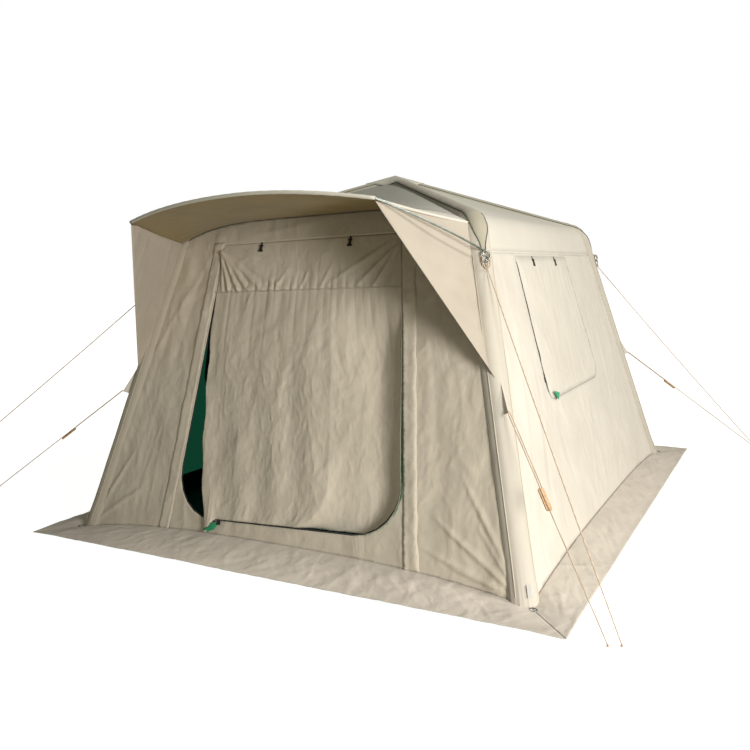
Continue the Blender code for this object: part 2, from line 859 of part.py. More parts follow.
def tape_frame(side, point, direction):
    """Frame on the outer face of a tape at a point of the wall's plane."""
    frame = wall_frame(side)
    across = frame.to_3x3() @ Vector((direction[0], direction[1], 0)).normalized()
    up = (frame.to_3x3() @ Vector((0, 0, 1))).cross(across)
    origin = frame @ Vector((point[0], point[1], HALF + SEAT))
    return frame_from(origin, across, up)


def door_slider_place():
    """The door's slider sits on the wall just under the sill edge, left of the middle."""
    left = Vector((DOOR_LOW_LEFT, up_wall("front", DOOR_SILL_LEFT)))
    right = Vector((DOOR_LOW_RIGHT, up_wall("front", DOOR_SILL_RIGHT)))
    along = (right - left).normalized()
    drop = Vector((along.y, -along.x)) * (SLIDER_WIDTH / 2 + TAPE)
    return left + along * (DOOR_CORNER + SLIDER_LENGTH) + drop, along


def window_slider_place(hand):
    x = hand * (WINDOW_FRONT - SLIDER_WIDTH / 2 - TAPE)
    low = up_wall("right", WINDOW_SILL) + WINDOW_CORNER + SLIDER_LENGTH
    return Vector((x, low)), Vector((0, 1))


def make_sliders():
    place, along = door_slider_place()
    make_slider("door_slider", tape_frame("front", place, along))
    for side, hand in (("right", 1), ("left", -1)):
        place, along = window_slider_place(hand)
        make_slider("window_slider_" + side, tape_frame(side, place, along))


# Toggles

def make_toggle(name, side, place, top):
    """Toggle bar with a waist, hung by a short tape loop from a point on a panel's top edge."""
    frame = wall_frame(side)
    tape = box_outline(place, top - 2 * LOOP_LENGTH, LOOP_WIDTH, 2 * LOOP_LENGTH)
    loop = slab(name + "_loop", [tape], 2 * TAPE, frame, HALF + SEAT + 2 * TAPE, None)
    high = top - LOOP_LENGTH
    half = TOGGLE_WIDTH / 2
    waist = TOGGLE_WAIST / 2
    sides = [(half, 0), (waist, -TOGGLE_HEIGHT * WAIST_SHARES[0]),
             (waist, -TOGGLE_HEIGHT * WAIST_SHARES[1]),
             (half, -TOGGLE_HEIGHT * WAIST_SHARES[2]), (half, -TOGGLE_HEIGHT)]
    outline = [Vector((place - x, high + y)) for x, y in sides]
    outline += [Vector((place + x, high + y)) for x, y in reversed(sides)]
    join(slab(name, [outline], TOGGLE_DEPTH, frame, HALF + SEAT + TOGGLE_DEPTH / 2, "toggle"), loop)


def box_outline(middle, low, width, height):
    return [Vector((middle - width / 2, low)), Vector((middle + width / 2, low)),
            Vector((middle + width / 2, low + height)), Vector((middle - width / 2, low + height))]


def make_toggles():
    door_top = up_wall("front", DOOR_TOP) - SEAM
    for name, place in zip(("left", "right"), DOOR_TOGGLES):
        make_toggle("door_toggle_" + name, "front", place, door_top)
    window_top = up_wall("right", WINDOW_TOP) - SEAM
    for side, hand in (("right", 1), ("left", -1)):
        for name, place in zip(("front", "back"), WINDOW_TOGGLES):
            make_toggle("window_toggle_" + side + "_" + name, side, hand * place, window_top)


# Corner hardware

def leg_frame(corner, height, out):
    """Frame on a leg: X sideways, Y up the leg, Z outward, at a distance from its centre line."""
    up, outward, side = leg_axes(corner)
    return frame_from(leg_point(corner, height) + outward * out, side, up)


def tab_face():
    """Distance from a leg's centre line to a tab's outer face."""
    return SLEEVE_RADIUS + FABRIC


def make_tab(name, corner, height, low, high):
    """Webbing tab sewn along a leg, from low to high about a height."""
    depth = SLEEVE_RADIUS / 2
    frame = leg_frame(corner, height, tab_face() - depth / 2)
    frame = frame @ Matrix.Translation((0, (low + high) / 2, 0))
    return cut(block(name + corner, (TAB_WIDTH, high - low, depth), frame, None), SEWN_CUTTERS[corner])


def gusset_tip(corner):
    _, outward, _ = leg_axes(corner)
    return leg_point(corner, GUSSET_LOW) + outward * (SLEEVE_RADIUS + GUSSET_REACH)


def make_gusset(corner):
    """Three-cornered patch that the middle guy line pulls on."""
    up, outward, _ = leg_axes(corner)
    frame = frame_from(leg_point(corner, GUSSET_LOW), outward, up)
    high = (GUSSET_TOP - GUSSET_LOW) / up.z
    inside = SLEEVE_RADIUS * GUSSET_SHARE
    tip = SLEEVE_RADIUS + GUSSET_REACH
    outline = [Vector((inside, 0)), Vector((tip, 0)), Vector((tip, SLEEVE_RADIUS / 6)),
               Vector((inside, high))]
    item = slab("gusset_" + corner, [outline], FABRIC, frame, 0.0, None)
    return cut(item, SEWN_CUTTERS[corner])


def make_sleeves():
    """Fabric sleeves round the beams, with their webbing tabs and guy patches sewn on."""
    for corner in CORNERS:
        points = path_points(corner, -OVERRUN, SLEEVE_START)
        sleeve = as_mesh(tube("beam_sleeve_" + corner, points, SLEEVE_RADIUS, None, 16, caps=False), "canvas")
        solidify(sleeve, SLEEVE_WALL, offset=-1.0)
        join(sleeve, make_tab("shoulder_tab_", corner, HOOK_HEIGHT, -TAB_FALL, TAB_RISE))
        middle = (BASE_TAB_LOW + BASE_TAB_HIGH) / 2
        reach = (BASE_TAB_HIGH - BASE_TAB_LOW) / 2
        join(sleeve, make_tab("base_tab_", corner, middle, -reach, reach))
        join(sleeve, make_gusset(corner))
        flatten_foot(sleeve, corner, FOOT / 2)


def shoulder_ring_frame(corner):
    out = tab_face() + SEAT + RING_WIRE
    return leg_frame(corner, HOOK_HEIGHT, out) @ Matrix.Translation((0, -RING_DROP, 0))


def make_rings():
    """Guy rings on the shoulder tabs, and peg rings lying on the skirt at the corners."""
    for corner, (x_sign, y_sign) in CORNERS.items():
        ring("shoulder_ring_" + corner, RING_RADIUS, RING_WIRE, shoulder_ring_frame(corner), "steel")
        diagonal = Vector((x_sign, y_sign, 0)).normalized()
        place = leg_point(corner, 0) + diagonal * (SLEEVE_RADIUS / cos(END_LEAN) + BASE_RING_REACH)
        place.z = FABRIC + SEAT + RING_WIRE
        ring("base_ring_" + corner, RING_RADIUS, RING_WIRE, Matrix.Translation(place), "steel")


# Awning

def hook_point(hand):
    """Centre of the pole's ball end on a front shoulder."""
    corner = "front_right" if hand > 0 else "front_left"
    _, outward, _ = leg_axes(corner)
    return leg_point(corner, HOOK_HEIGHT) + outward * (tab_face() + SEAT + POLE_BALL)


def pole_point(x, reach):
    hook = hook_point(1)
    return Vector((x, hook.y - reach * cos(POLE_SLOPE), hook.z + reach * sin(POLE_SLOPE)))


def pole_arm(hand):
    """Points up one arm of the pole, from its ball end to its bend."""
    start = hook_point(1).x
    points = []
    for step in range(ARM_STEPS + 1):
        share = step / ARM_STEPS
        bow = ARM_BOW * 4 * share * (1 - share)
        points.append(pole_point(hand * (mix(start, TIP_X, share) + bow), TIP_REACH * share))
    return points


def pole_bow():
    """Points along the awning's front edge, from the left bend to the right one."""
    points = []
    for step in range(BOW_STEPS + 1):
        x = mix(-TIP_X, TIP_X, step / BOW_STEPS)
        span = TIP_X - CREST_X if x > CREST_X else TIP_X + CREST_X
        fall = ((x - CREST_X) / span) ** 2
        points.append(pole_point(x, mix(CREST_REACH, TIP_REACH, fall)))
    return points


def make_pole():
    """Bent steel rod with a ball at each hinge."""
    left = pole_arm(-1)
    right = pole_arm(1)
    for arm in (left, right):
        arm[0] = arm[0] + (arm[1] - arm[0]).normalized() * POLE_BALL / 2
    points = left + pole_bow()[1:-1] + right[::-1]
    rod = as_mesh(tube("awning_pole", points, POLE_RADIUS, None), "steel")
    for name, hand in (("left", -1), ("right", 1)):
        join(rod, ball("pole_ball_" + name, POLE_BALL, hook_point(hand), None))


def pole_cutter(name, radius):
    points = pole_arm(-1)[2:] + pole_bow()[1:-1] + pole_arm(1)[:1:-1]
    return as_cutter(as_mesh(tube(name, points, radius, None)))


def bow_at(share):
    """Point on the pole's bow for a share from -1 to 1."""
    points = pole_bow()
    place = (share + 1) / 2 * (len(points) - 1)
    index = min(int(place), len(points) - 2)
    return mix(points[index], points[index + 1], place - index)


def make_canopy():
    """Awning sheet from the arch to the pole, with a hem tube that the pole runs in."""
    rows = []
    for row in range(AWNING_ROWS + 1):
        share = row / AWNING_ROWS
        rows.append([mix(arch_point(across, -SEAM / 2, AWNING_LIFT), bow_at(across), share)
                     for across in arch_shares()])
    sheet = loft("awning_canopy", rows, "roof")
    join(sheet, as_mesh(tube("canopy_hem", pole_bow()[1:-1], HEM_RADIUS, None)))
    cut(sheet, pole_cutter("cutter_bore", HEM_RADIUS - HEM_WALL))
    cut(sheet, BEAM_CUTTERS["front_left"])
    cut(sheet, BEAM_CUTTERS["front_right"])


def wing_root(hand, share):
    """Point inside the sleeve that the wing starts from, from the arch's end down the leg."""
    corner = "front_right" if hand > 0 else "front_left"
    knee = arch_point(hand, 0, AWNING_LIFT - 2 * FABRIC)
    low = leg_point(corner, WING_LOW_HEIGHT) + Vector((0, -WING_ROOT, 0))
    top = leg_point(corner, EAVE_HEIGHT) + Vector((0, -WING_ROOT, 0))
    if share < WING_KNEE_SHARE:
        return mix(knee, top, share / WING_KNEE_SHARE)
    return mix(top, low, (share - WING_KNEE_SHARE) / (1 - WING_KNEE_SHARE))


def wing_edge(hand, share):
    """Point on the wing's free edge, from the pole's bend down to the leg."""
    tip = pole_point(hand * TIP_X, TIP_REACH) + Vector((0, 0, -WING_DROP))
    corner = "front_right" if hand > 0 else "front_left"
    low = leg_point(corner, WING_LOW_HEIGHT) + Vector((hand * WING_LOW_SIDE, -WING_LOW_REACH, 0))
    return mix(tip, low, share)


def make_wing(name, hand, cutter):
    rows = []
    for row in range(WING_ROWS + 1):
        share = row / WING_ROWS
        rows.append([mix(wing_root(hand, share), wing_edge(hand, share), column / WING_COLUMNS)
                     for column in range(WING_COLUMNS + 1)])
    item = loft("awning_wing_" + name, rows, "canvas")
    cut(item, BEAM_CUTTERS["front_right" if hand > 0 else "front_left"])
    cut(item, cutter)


def make_awning():
    cutter = pole_cutter("cutter_pole", HEM_RADIUS + SEAT)
    make_pole()
    make_canopy()
    make_wing("right", 1, cutter)
    make_wing("left", -1, cutter)


# Ground pieces

def make_skirt():
    """Flat ring on the ground round the walls, slit from each corner outward."""
    half_x = BASE_WIDTH / 2
    half_y = BASE_DEPTH / 2
    inner = [Vector((x * (half_x - SKIRT_TUCK), y * (half_y - SKIRT_TUCK)))
             for x, y in ((-1, -1), (1, -1), (1, 1), (-1, 1))]
    outer = []
    for x, y in ((-1, -1), (1, -1), (1, 1), (-1, 1)):
        tip = Vector((x * (half_x + SKIRT_SLIT_START), y * (half_y + SKIRT_SLIT_START)))
        far_x = Vector((x * (half_x + SKIRT_WIDTH), y * (half_y + SKIRT_WIDTH - SKIRT_SLIT_MOUTH)))
        far_y = Vector((x * (half_x + SKIRT_WIDTH - SKIRT_SLIT_MOUTH), y * (half_y + SKIRT_WIDTH)))
        near_x = tip + Vector((x, 0)) * SKIRT_SLIT
        near_y = tip + Vector((0, y)) * SKIRT_SLIT
        corner = [far_y, near_y, near_x, far_x]
        outer += corner if x * y < 0 else corner[::-1]
    item = slab("ground_skirt", [outer, inner], FABRIC, Matrix.Identity(4), HALF, "canvas")
    for corner in CORNERS:
        cut(item, BEAM_CUTTERS[corner])


def make_tray():
    """Floor sheet with a raised lip that leans in with the walls."""
    rings = []
    for height in (0.0, TRAY_LIP):
        half_x = BASE_WIDTH / 2 - TRAY_INSET - height * tan(SIDE_LEAN)
        half_y = BASE_DEPTH / 2 - TRAY_INSET - height * tan(END_LEAN)
        rings.append([Vector((x * half_x, y * half_y, height))
                      for x, y in ((-1, -1), (1, -1), (1, 1), (-1, 1))])
    bm = bmesh.new()
    low = [bm.verts.new(point) for point in rings[0]]
    high = [bm.verts.new(point) for point in rings[1]]
    bm.faces.new(low[::-1])
    for index in range(4):
        after = (index + 1) % 4
        bm.faces.new((low[index], low[after], high[after], high[index]))
    bmesh.ops.recalc_face_normals(bm, faces=bm.faces)
    bm.normal_update()
    if bm.faces[0].normal.z > 0:
        bmesh.ops.reverse_faces(bm, faces=bm.faces)
    item = solidify(mesh_object("groundsheet", bm, "floor"), TRAY_WALL, offset=-1.0)
    for corner in CORNERS:
        cut(item, BEAM_CUTTERS[corner])


# Guy lines

def smooth_route(points, steps):
    """Even points along a smooth curve through a route's own points."""
    route = [points[0] * 2 - points[1]] + points + [points[-1] * 2 - points[-2]]
    result = []
    for index in range(len(points) - 1):
        before, start, end, after = route[index:index + 4]
        count = steps // (len(points) - 1)
        for step in range(count):
            t = step / count
            result.append(((start * 2) + (end - before) * t
                           + (before * 2 - start * 5 + end * 4 - after) * t ** 2
                           + (start * 3 - before - end * 3 + after) * t ** 3) / 2)
    return result + [points[-1]]


def sagging(start, end, sag):
    """Route of a taut line: its ends and a middle that hangs a little."""
    middle = (start + end) / 2 - Vector((0, 0, sag))
    quarter = mix(start, end, 0.25) - Vector((0, 0, sag * 0.75))
    late = mix(start, end, 0.75) - Vector((0, 0, sag * 0.75))
    return [start, quarter, middle, late, end]


def make_line(name, route, hitch, peg):
    """Line along a route, with a hitch where it is tied on and a knot on the ground."""
    rope = as_mesh(tube(name, route, LINE_RADIUS, None), "rope")
    join(rope, ball(name + "_hitch", HITCH_RADIUS, hitch, None))
    join(rope, ball(name + "_knot", KNOT_RADIUS, peg, None))


def mid_line_axes(corner):
    """Hitch and peg of the middle line, its direction, and the way across its strands."""
    up, outward, _ = leg_axes(corner)
    hitch = gusset_tip(corner) + outward * (HITCH_RADIUS + SEAT) + up * SLEEVE_RADIUS / 12
    peg = Vector((*MID_PEGS[corner], KNOT_RADIUS))
    along = (peg - hitch).normalized()
    across = along.cross(outward).normalized()
    return hitch, peg, along, across


def make_guy_lines():
    """Top lines from the shoulder rings, and middle lines that turn back to a runner."""
    for corner in TOP_PEGS:
        up, _, _ = leg_axes(corner)
        hitch = shoulder_ring_frame(corner).translation - up * (RING_RADIUS + RING_WIRE + SEAT + HITCH_RADIUS)
        peg = Vector((*TOP_PEGS[corner], KNOT_RADIUS))
        route = smooth_route(sagging(hitch, peg, LINE_SAG), LINE_STEPS)
        make_line("guy_line_top_" + corner, route, hitch, peg)
        hitch, peg, along, across = mid_line_axes(corner)
        half = across * STRAND_SPREAD / 2
        lead = along * STRAND_SPREAD
        free_end = hitch - half + along * (RUNNER_REACH + RUNNER_HOLE)
        start = hitch + half + lead
        straight = smooth_route([start, mix(start, peg, 0.5), peg], LINE_STEPS // 2)
        route = [free_end, hitch - half + lead, hitch] + straight
        make_line("guy_line_mid_" + corner, route, hitch, peg)
        make_runner(corner)


def make_runner(corner):
    """Wooden bar behind the two strands, with a hole near each end."""
    tip, _, along, across = mid_line_axes(corner)
    middle = tip + along * (RUNNER_REACH + RUNNER_LENGTH / 2)
    frame = frame_from(middle, across, -along)
    half_width = RUNNER_WIDTH / 2
    half_length = RUNNER_LENGTH / 2
    nick = RUNNER_WIDTH / 5
    outline = [Vector((-half_width + nick, -half_length)), Vector((half_width - nick, -half_length)),
               Vector((half_width, -half_length + nick)), Vector((half_width, half_length - nick)),
               Vector((half_width - nick, half_length)), Vector((-half_width + nick, half_length)),
               Vector((-half_width, half_length - nick)), Vector((-half_width, -half_length + nick))]
    holes = []
    for place in (-1, 1):
        middle_hole = Vector((0, place * (half_length - 3 * RUNNER_HOLE)))
        holes.append([middle_hole + Vector((cos(turn * pi / 4), sin(turn * pi / 4))) * RUNNER_HOLE
                      for turn in range(8)])
    lift = LINE_RADIUS + SEAT + RUNNER_DEPTH / 2
    slab("guy_runner_" + corner, [outline] + holes, RUNNER_DEPTH, frame, lift, "wood")


# Valve

def make_valve():
    """Inflation valve on the back left leg, with a cap that turns on its nose."""
    inner = SLEEVE_RADIUS / 2
    face = SLEEVE_RADIUS + VALVE_LENGTH
    frame = leg_frame("back_left", VALVE_HEIGHT, 0)
    profile = [(0, face), (VALVE_RADIUS, face), (VALVE_RADIUS, inner), (0, inner)]
    body = turned("inflation_valve", profile, frame, "frame", steps=24)
    cut(body, BEAM_CUTTERS["back_left"])
    top = face + SEAT + VALVE_CAP_LENGTH
    edge = VALVE_CAP_RADIUS / 6
    profile = [(0, top), (VALVE_CAP_RADIUS - edge, top), (VALVE_CAP_RADIUS, top - edge),
               (VALVE_CAP_RADIUS, face + SEAT), (0, face + SEAT)]
    turned("valve_cap", profile, frame, "frame", steps=24)


make_air_frame()
make_crown_cap()
make_roof_panel("right", "front_right", "back_right")
make_roof_panel("back", "back_right", "back_left")
make_roof_panel("left", "back_left", "front_left")
make_front_roof()
make_walls()
make_door()
make_tape("door_zip", door_outline(), "front")
make_windows()
make_sliders()
make_toggles()
make_sleeves()
make_rings()
make_awning()
make_skirt()
make_tray()
make_guy_lines()
make_valve()
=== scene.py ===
"""Looks of the inflatable cube tent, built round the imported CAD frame.

The cloth panels, sleeves, door, awning and guy lines are modelled here in finer detail than their
CAD solids. Beams, hub, pole, rings, toggles, sliders, zip tapes, mesh windows, runners and the valve
keep their CAD shapes. Lengths are in metres.
"""

import bpy
import bmesh
import numpy as np
from math import atan, cos, exp, hypot, pi, radians, sin, sqrt, tan
from mathutils import Matrix, Vector, noise
from mathutils.geometry import delaunay_2d_cdt


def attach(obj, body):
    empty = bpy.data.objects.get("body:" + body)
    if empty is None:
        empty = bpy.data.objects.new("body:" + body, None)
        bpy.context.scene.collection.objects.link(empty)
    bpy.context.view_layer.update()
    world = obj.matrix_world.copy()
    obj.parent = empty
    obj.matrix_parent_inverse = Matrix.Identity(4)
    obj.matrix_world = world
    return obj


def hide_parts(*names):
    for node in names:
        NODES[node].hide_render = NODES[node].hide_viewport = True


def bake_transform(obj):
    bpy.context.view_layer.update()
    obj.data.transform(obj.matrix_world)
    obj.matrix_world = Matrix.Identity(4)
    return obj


# Plan and heights, as in the CAD
BASE_WIDTH = 2.81
BASE_DEPTH = 3.13
EAVE_WIDTH = 2.066
EAVE_DEPTH = 2.158
EAVE_HEIGHT = 1.555
APEX_HEIGHT = 2.115
ROOF_PITCH = radians(14.36)
SKIRT_WIDTH = 0.218
SLEEVE_RADIUS = 0.065
SHOULDER_RADIUS = 0.135
SHOULDER_STEPS = 7
CORNERS = {"front_right": (1, -1), "front_left": (-1, -1), "back_right": (1, 1), "back_left": (-1, 1)}
ENDS = ("front", "back")

# Cloth in general
PANEL_START = 0.120
PANEL_REACH = 0.044
CLOTH = 0.0014
SEAM = 0.0008
FOOT = 0.003
WELD = 0.00001
GRID = 0.028
INSIDE_TRIANGLES = 1
SHARPEST_SHARE = 0.5

# Sleeves and the bands on them
SLEEVE_START = 0.118
SLEEVE_FOOT = 0.0055
SLEEVE_SIDES = 56
SLEEVE_CLOTH = 0.001
SLEEVE_TUCK = 0.0008
SLEEVE_SLACK = 0.0016
SLACK_WAVES = 5
SLEEVE_SEED = 7.0
STATION_STEP = 0.02
PUCKER_DEPTH = 0.0018
PUCKER_REACH = 0.16
PUCKER_WAVES = 330
FOOT_PUCKER = 0.007
FOOT_PUCKER_HEIGHT = 0.10
FOOT_PUCKERS = 22
BAND_LOW = 1.538
BAND_TAPER = 0.16
BAND_NARROW = radians(9)
BAND_WIDE = radians(46)
BAND_LIFT = 0.0012
BAND_STEPS = 10
BAND_THICKNESS = 0.0006
SEAM_ANGLE = radians(49)
SEAM_FOOT = 3 * FOOT
PIPE_RADIUS = 0.0030
TAPE_WIDTH = 0.014

# Walls
WALL_GRID = 0.018
WALL_FADE = 0.09
FRONT_GRID = 0.0105
FRONT_FADE = 0.06
FOOT_RISE = {"front": 0.080, "back": 0.080, "right": 0.050, "left": 0.050}
FOOT_POWER = 3
FOOT_STEPS = 26
ARCH_STEPS = 24

# Front arch, as in the CAD, and the roof
ARCH_CROWN = 1.805
ARCH_SPRING = 1.70
ARCH_POWER = 4.5
ROOF_ROWS = 44
ROOF_COLUMNS = 48
ROOF_SAG = 0.010
ROOF_RIPPLE = 0.0025
ROOF_WAVES = 9
FRONT_ROOF_ROWS = 26
FRONT_ROOF_COLUMNS = 44
FRONT_ROOF_SHARE = 0.955
CROWN_HALF = 0.145
CROWN_ROWS = 8
CROWN_SIDES = 64
CROWN_SINK = 0.022
CROWN_LIFT = 0.0058

# Opening of the door, as in the CAD
DOOR_TOP = 1.675
DOOR_TOP_LEFT = -0.613
DOOR_TOP_RIGHT = 0.572
DOOR_SILL_LEFT = 0.140
DOOR_SILL_RIGHT = 0.190
DOOR_LOW_LEFT = -0.718
DOOR_LOW_RIGHT = 0.762
DOOR_CORNER = 0.26
CORNER_STEPS = 6
DOOR_GAP = 0.0045
GATHER_HEIGHT = 1.395

# Undone edge, gathers and folds of the door
SLACK_X_SHARES = ((1.395, 0.0), (1.10, 0.14), (0.784, 0.40), (0.565, 0.62), (0.296, 0.87), (0.10, 1.0))
SLACK_WIDTH = 0.215
GATHERS = 13
GATHER_DEPTH = 0.024
GATHER_DRIFT = 0.022
GATHER_MEAN_SHARE = 0.65
GATHER_LEAST_SHARE = 0.1
GATHER_POWER = 0.8
GATHER_FADE = 4
SEAM_DEPTH = 0.005
FOLDS = 5
FOLD_DEPTH = 0.024
FOLD_DRIFT_SHARE = 0.14

# Finer shape of the door: a rise or fade is one over the share of the way that it takes
DOOR_COLUMNS = 260
DOOR_ROWS = 104
HEADER_ROWS = 26
PLEAT_DEPTH = 0.020
PLEAT_START_SHARE = 0.45
HEADER_CRUMPLE_SHARE = 0.6
SCENE_FOLD_SHARE = 0.55
LONG_GATHER_SHARE = 0.34
SHORT_GATHER_SHARE = 0.10
FINE_DEPTH = 0.004
RECESS_WIDTH = 0.42
RECESS_DEPTH = 0.075
RECESS_POWER = 0.65
RECESS_RISE = 4
CURTAIN_CRUMPLE_RISE = 3
HEADER_CRUMPLE_RISE = 5
HEADER_SEAM_POWER = 4
FINE_WAVES = 13
FINE_WAVES_UP = 2.2
FINE_DRIFT = 3
FINE_SEED = 2.0
FINE_RISE = 8
EDGE_WAVE = 0.012
EDGE_WAVE_RISE = 4
EDGE_WAVE_FADE = 12
TIP_WIDTH = 0.12
TIP_SHIFT = 0.06
TIP_FALL = 0.075
TIP_FALL_SHARE = 0.18
TIP_LIFT = 0.016
TIP_LIFT_SHARE = 0.25
TIP_LIFT_FADE = 4
CLOSE_GAP = 0.0012
STITCH_STEPS = 200
STITCH_WOBBLE = 0.0015
STITCH_RADIUS = 0.0026
FOLDED_GRID = 0.008
FOLDED_DEPTH = 0.030
DOOR_FOLDED_SWELL = 0.006
DOOR_FOLDED_FADE = 0.02
ZIP_END_PLACE = (-0.352, 0.150)
ZIP_END_WIDTH = 0.026
ZIP_END_HALF = 0.012
ZIP_END_THICKNESS = 0.006

# Storm flaps beside the door
FLAP_WIDTH = 0.075
FLAP_TOP = 1.69
FLAP_FOOT = 0.065
FLAP_ROWS = 60
FLAP_GRID = 0.011
FLAP_STEP = 0.006
FLAP_SWELL = 0.0025
FLAP_SWELL_FADE = 0.012
FLAP_PUCKER = 0.0035
FLAP_PUCKER_FADE = 0.008
FLAP_LIFT = 0.004
FLAP_FLARE = 0.012
FLAP_FLARE_TOP = 0.30
FLAP_WOBBLE = 0.006
FLAP_OUTSIDE_RISE = 1.4
FLAP_INSIDE_FADE = 3
FLAP_PUCKER_SHARE = 0.7
FLAP_ROUGH_SHARE = 0.6

# Awning
AWNING_LIFT = 0.0024
POLE_SLOPE = radians(23.6)
POLE_BALL = 0.009
HOOK_HEIGHT = 1.527
TIP_X = 0.752
TIP_REACH = 0.592
CREST_X = 0.08
CREST_REACH = 0.745
CANOPY_ROWS = 26
CANOPY_COLUMNS = 64
CANOPY_HANG = 0.014
CANOPY_CROWN = 0.6
EDGE_OUT = 0.005
EDGE_FALL = 0.013
EDGE_CALM = 0.08
EDGE_LEAST_SHARE = 0.1
HEM_RADIUS = 0.0088
HEM_CLOTH = 0.0008
HEM_TUCK = 0.0006
HEM_TURN = 2.3
HEM_STEPS = 60
HEM_SIDES = 16
HEM_START_SHARE = 0.9
HEM_FADE_SHARE = 0.07
AHEAD_SHARE = 0.01
BLEND_PAST = 0.01
WING_ROWS = 48
WING_COLUMNS = 24
WING_LOW_HEIGHT = 0.932
WING_LOW_SIDE = 0.040
WING_LOW_REACH = 0.042
WING_DROP = 0.018
WING_ROOT = 0.04
WING_KNEE_SHARE = 0.2
WING_CLEARANCE = 0.0032
WING_PULL = 0.006
WING_RIPPLES = 14
WING_DRIFT = 5
WING_TOP_POWER = 8

# Windows, as in the CAD
WINDOW_TOP = 1.535
WINDOW_SILL = 0.752
WINDOW_FRONT = -0.632
WINDOW_BACK_TOP = 0.350
WINDOW_BACK_LOW = 0.480
WINDOW_CORNER = 0.09

# Finer shape of the window covers
WINDOW_OPEN = 0.015
WINDOW_WAVE = 0.017
WINDOW_CLOSE = 0.0016
WINDOW_STEP = 0.015
COVER_LIFT = 0.004
COVER_FADE = 0.05
WINDOW_FOLDED_IN = 0.10
WINDOW_FOLDED_DEPTH = FOLDED_DEPTH / 2
WINDOW_FOLDED_SWELL = 0.004
WINDOW_FOLDED_FADE = 0.01

# Corners and lines, as in the CAD
FABRIC = 0.002
SEAT = 0.0003
TAB_WIDTH = 0.020
TAB_RISE = 0.016
TAB_FALL = 0.052
RING_RADIUS = 0.017
RING_WIRE = 0.0028
RING_DROP = 0.040
BASE_TAB_LOW = 0.020
BASE_TAB_HIGH = 0.075
GUSSET_TOP = 0.93
GUSSET_LOW = 0.775
GUSSET_REACH = 0.036
LINE_RADIUS = 0.0025
KNOT_RADIUS = 0.006
HITCH_RADIUS = 0.0042
HITCH_LIFT = SLEEVE_RADIUS / 12
LINE_STEPS = 18
LINE_SAG = 0.012
STRAND_SPREAD = 0.011
RUNNER_REACH = 0.385
RUNNER_HOLE = 0.003
TOP_PEGS = {"front_right": (1.829, -1.747), "front_left": (-2.500, -2.320), "back_right": (2.085, 2.060)}
MID_PEGS = {"front_right": (1.781, -1.770), "front_left": (-2.242, -1.919), "back_right": (2.085, 2.015)}

# Details of the corners and knots that differ from the CAD
TAB_STAND = 0.002
GUSSET_ROOT_SHARE = 0.98
KNOT_LUMP_SHARE = 0.12

# Loops of rope and hooks in the shoulder rings
LOOP_OUT = 0.012
LOOP_DROP = 0.006
LOOP_HALF_WIDTH = 0.019
LOOP_HALF_HEIGHT = 0.046
LOOP_TWIST = 0.004
LOOP_RADIUS = 0.0036
LOOP_STEPS = 40
HOOK_SIZE = 0.018
HOOK_OUT = 0.0216
HOOK_SWEEP = 1.7 * pi
HOOK_BULGE_SHARE = 0.35
HOOK_RISE_SHARE = 1.4

# Pieces on the ground
TRAY_LIP = 0.13
TRAY_INSET = 0.0125
TRAY_HEIGHT = 0.0015
TRAY_STEPS = 40
TRAY_SPREAD = 1.08
SKIRT_SLIT_MOUTH = 0.004
SKIRT_HEIGHT = 0.0024
SKIRT_POWER = 1.6
SKIRT_ROWS = 26
SKIRT_COLUMNS = 300
SKIRT_CREASE = 0.0042
SKIRT_CALM = 0.18
SKIRT_WAVE = 0.006
SKIRT_WAVE_MEAN = 0.8
SKIRT_RIPPLE = 0.004
SKIRT_RIPPLE_MEAN = 0.6
SKIRT_CREASE_MEAN = 0.3
SKIRT_RIM_START = 1.15
SKIRT_RIM_SHARE = 0.85
LEG_CLEARANCE = 0.0705
SLIT_START_SHARE = 0.45
SLIT_LOW_HALF = 0.002
SLIT_WIDE_HALF = 0.012
SLIT_WIDE_SHARE = 0.6
SLIT_HIGH_HALF = 0.008
SLIT_HEIGHT = 0.0008
SLIT_CLOTH = 0.0006
FLOOR_SIZE = 60
FLOOR_DROP = 0.0002

# Camera
CAMERA_PLACE = (2.399, -4.5844, 1.437)
CAMERA_YAW = radians(29.685)
CAMERA_PITCH = radians(7.188)
CAMERA_ROLL = radians(-2.188)
CAMERA_LENS = 36.25
CAMERA_SENSOR = 36.0

# Light
WHITE = (1.0, 1.0, 1.0, 1.0)
SKY_COLOR = (1.0, 0.98, 0.86, 1.0)
SKY_LEFT = 0.15
SKY_RIGHT = 0.36
SKY_EDGE = 0.7
SUN_COLOR = (1.0, 0.985, 0.955)
SUN_ENERGY = 2.0
SUN_ANGLE = radians(14)
SUN_FROM = (0.9, 0.20, 0.55)
FILL_SIZE = 1.5
FILL_ENERGY = 235
FILL_PLACE = (4.75, -3.85, 1.6)
FILL_TARGET = (0.4, -1.4, 0.7)

# Heights between which the roof turns grey; how textures lie and how far each one stands out
GREY_FROM = 1.70
GREY_TO = 1.90
NO_TURN = (0, 0, 0)
EVEN = (1, 1, 1)
CRUMPLE_HEIGHT = 0.014
CREASE_HEIGHT = 0.011
WEAVE_HEIGHT = 0.0005
METAL_HEIGHT = 0.0004
PLASTIC_HEIGHT = 0.0003
WOOD_HEIGHT = 0.0006
ROPE_HEIGHT = 0.0008
TAPE_HEIGHT = 0.0005

# Worked out from the sizes above
SIDE_INSET = (BASE_WIDTH - EAVE_WIDTH) / 2
END_INSET = (BASE_DEPTH - EAVE_DEPTH) / 2
SIDE_LEAN = atan(SIDE_INSET / EAVE_HEIGHT)
END_LEAN = atan(END_INSET / EAVE_HEIGHT)
BEAM_INSET = SLEEVE_RADIUS / sqrt(2)

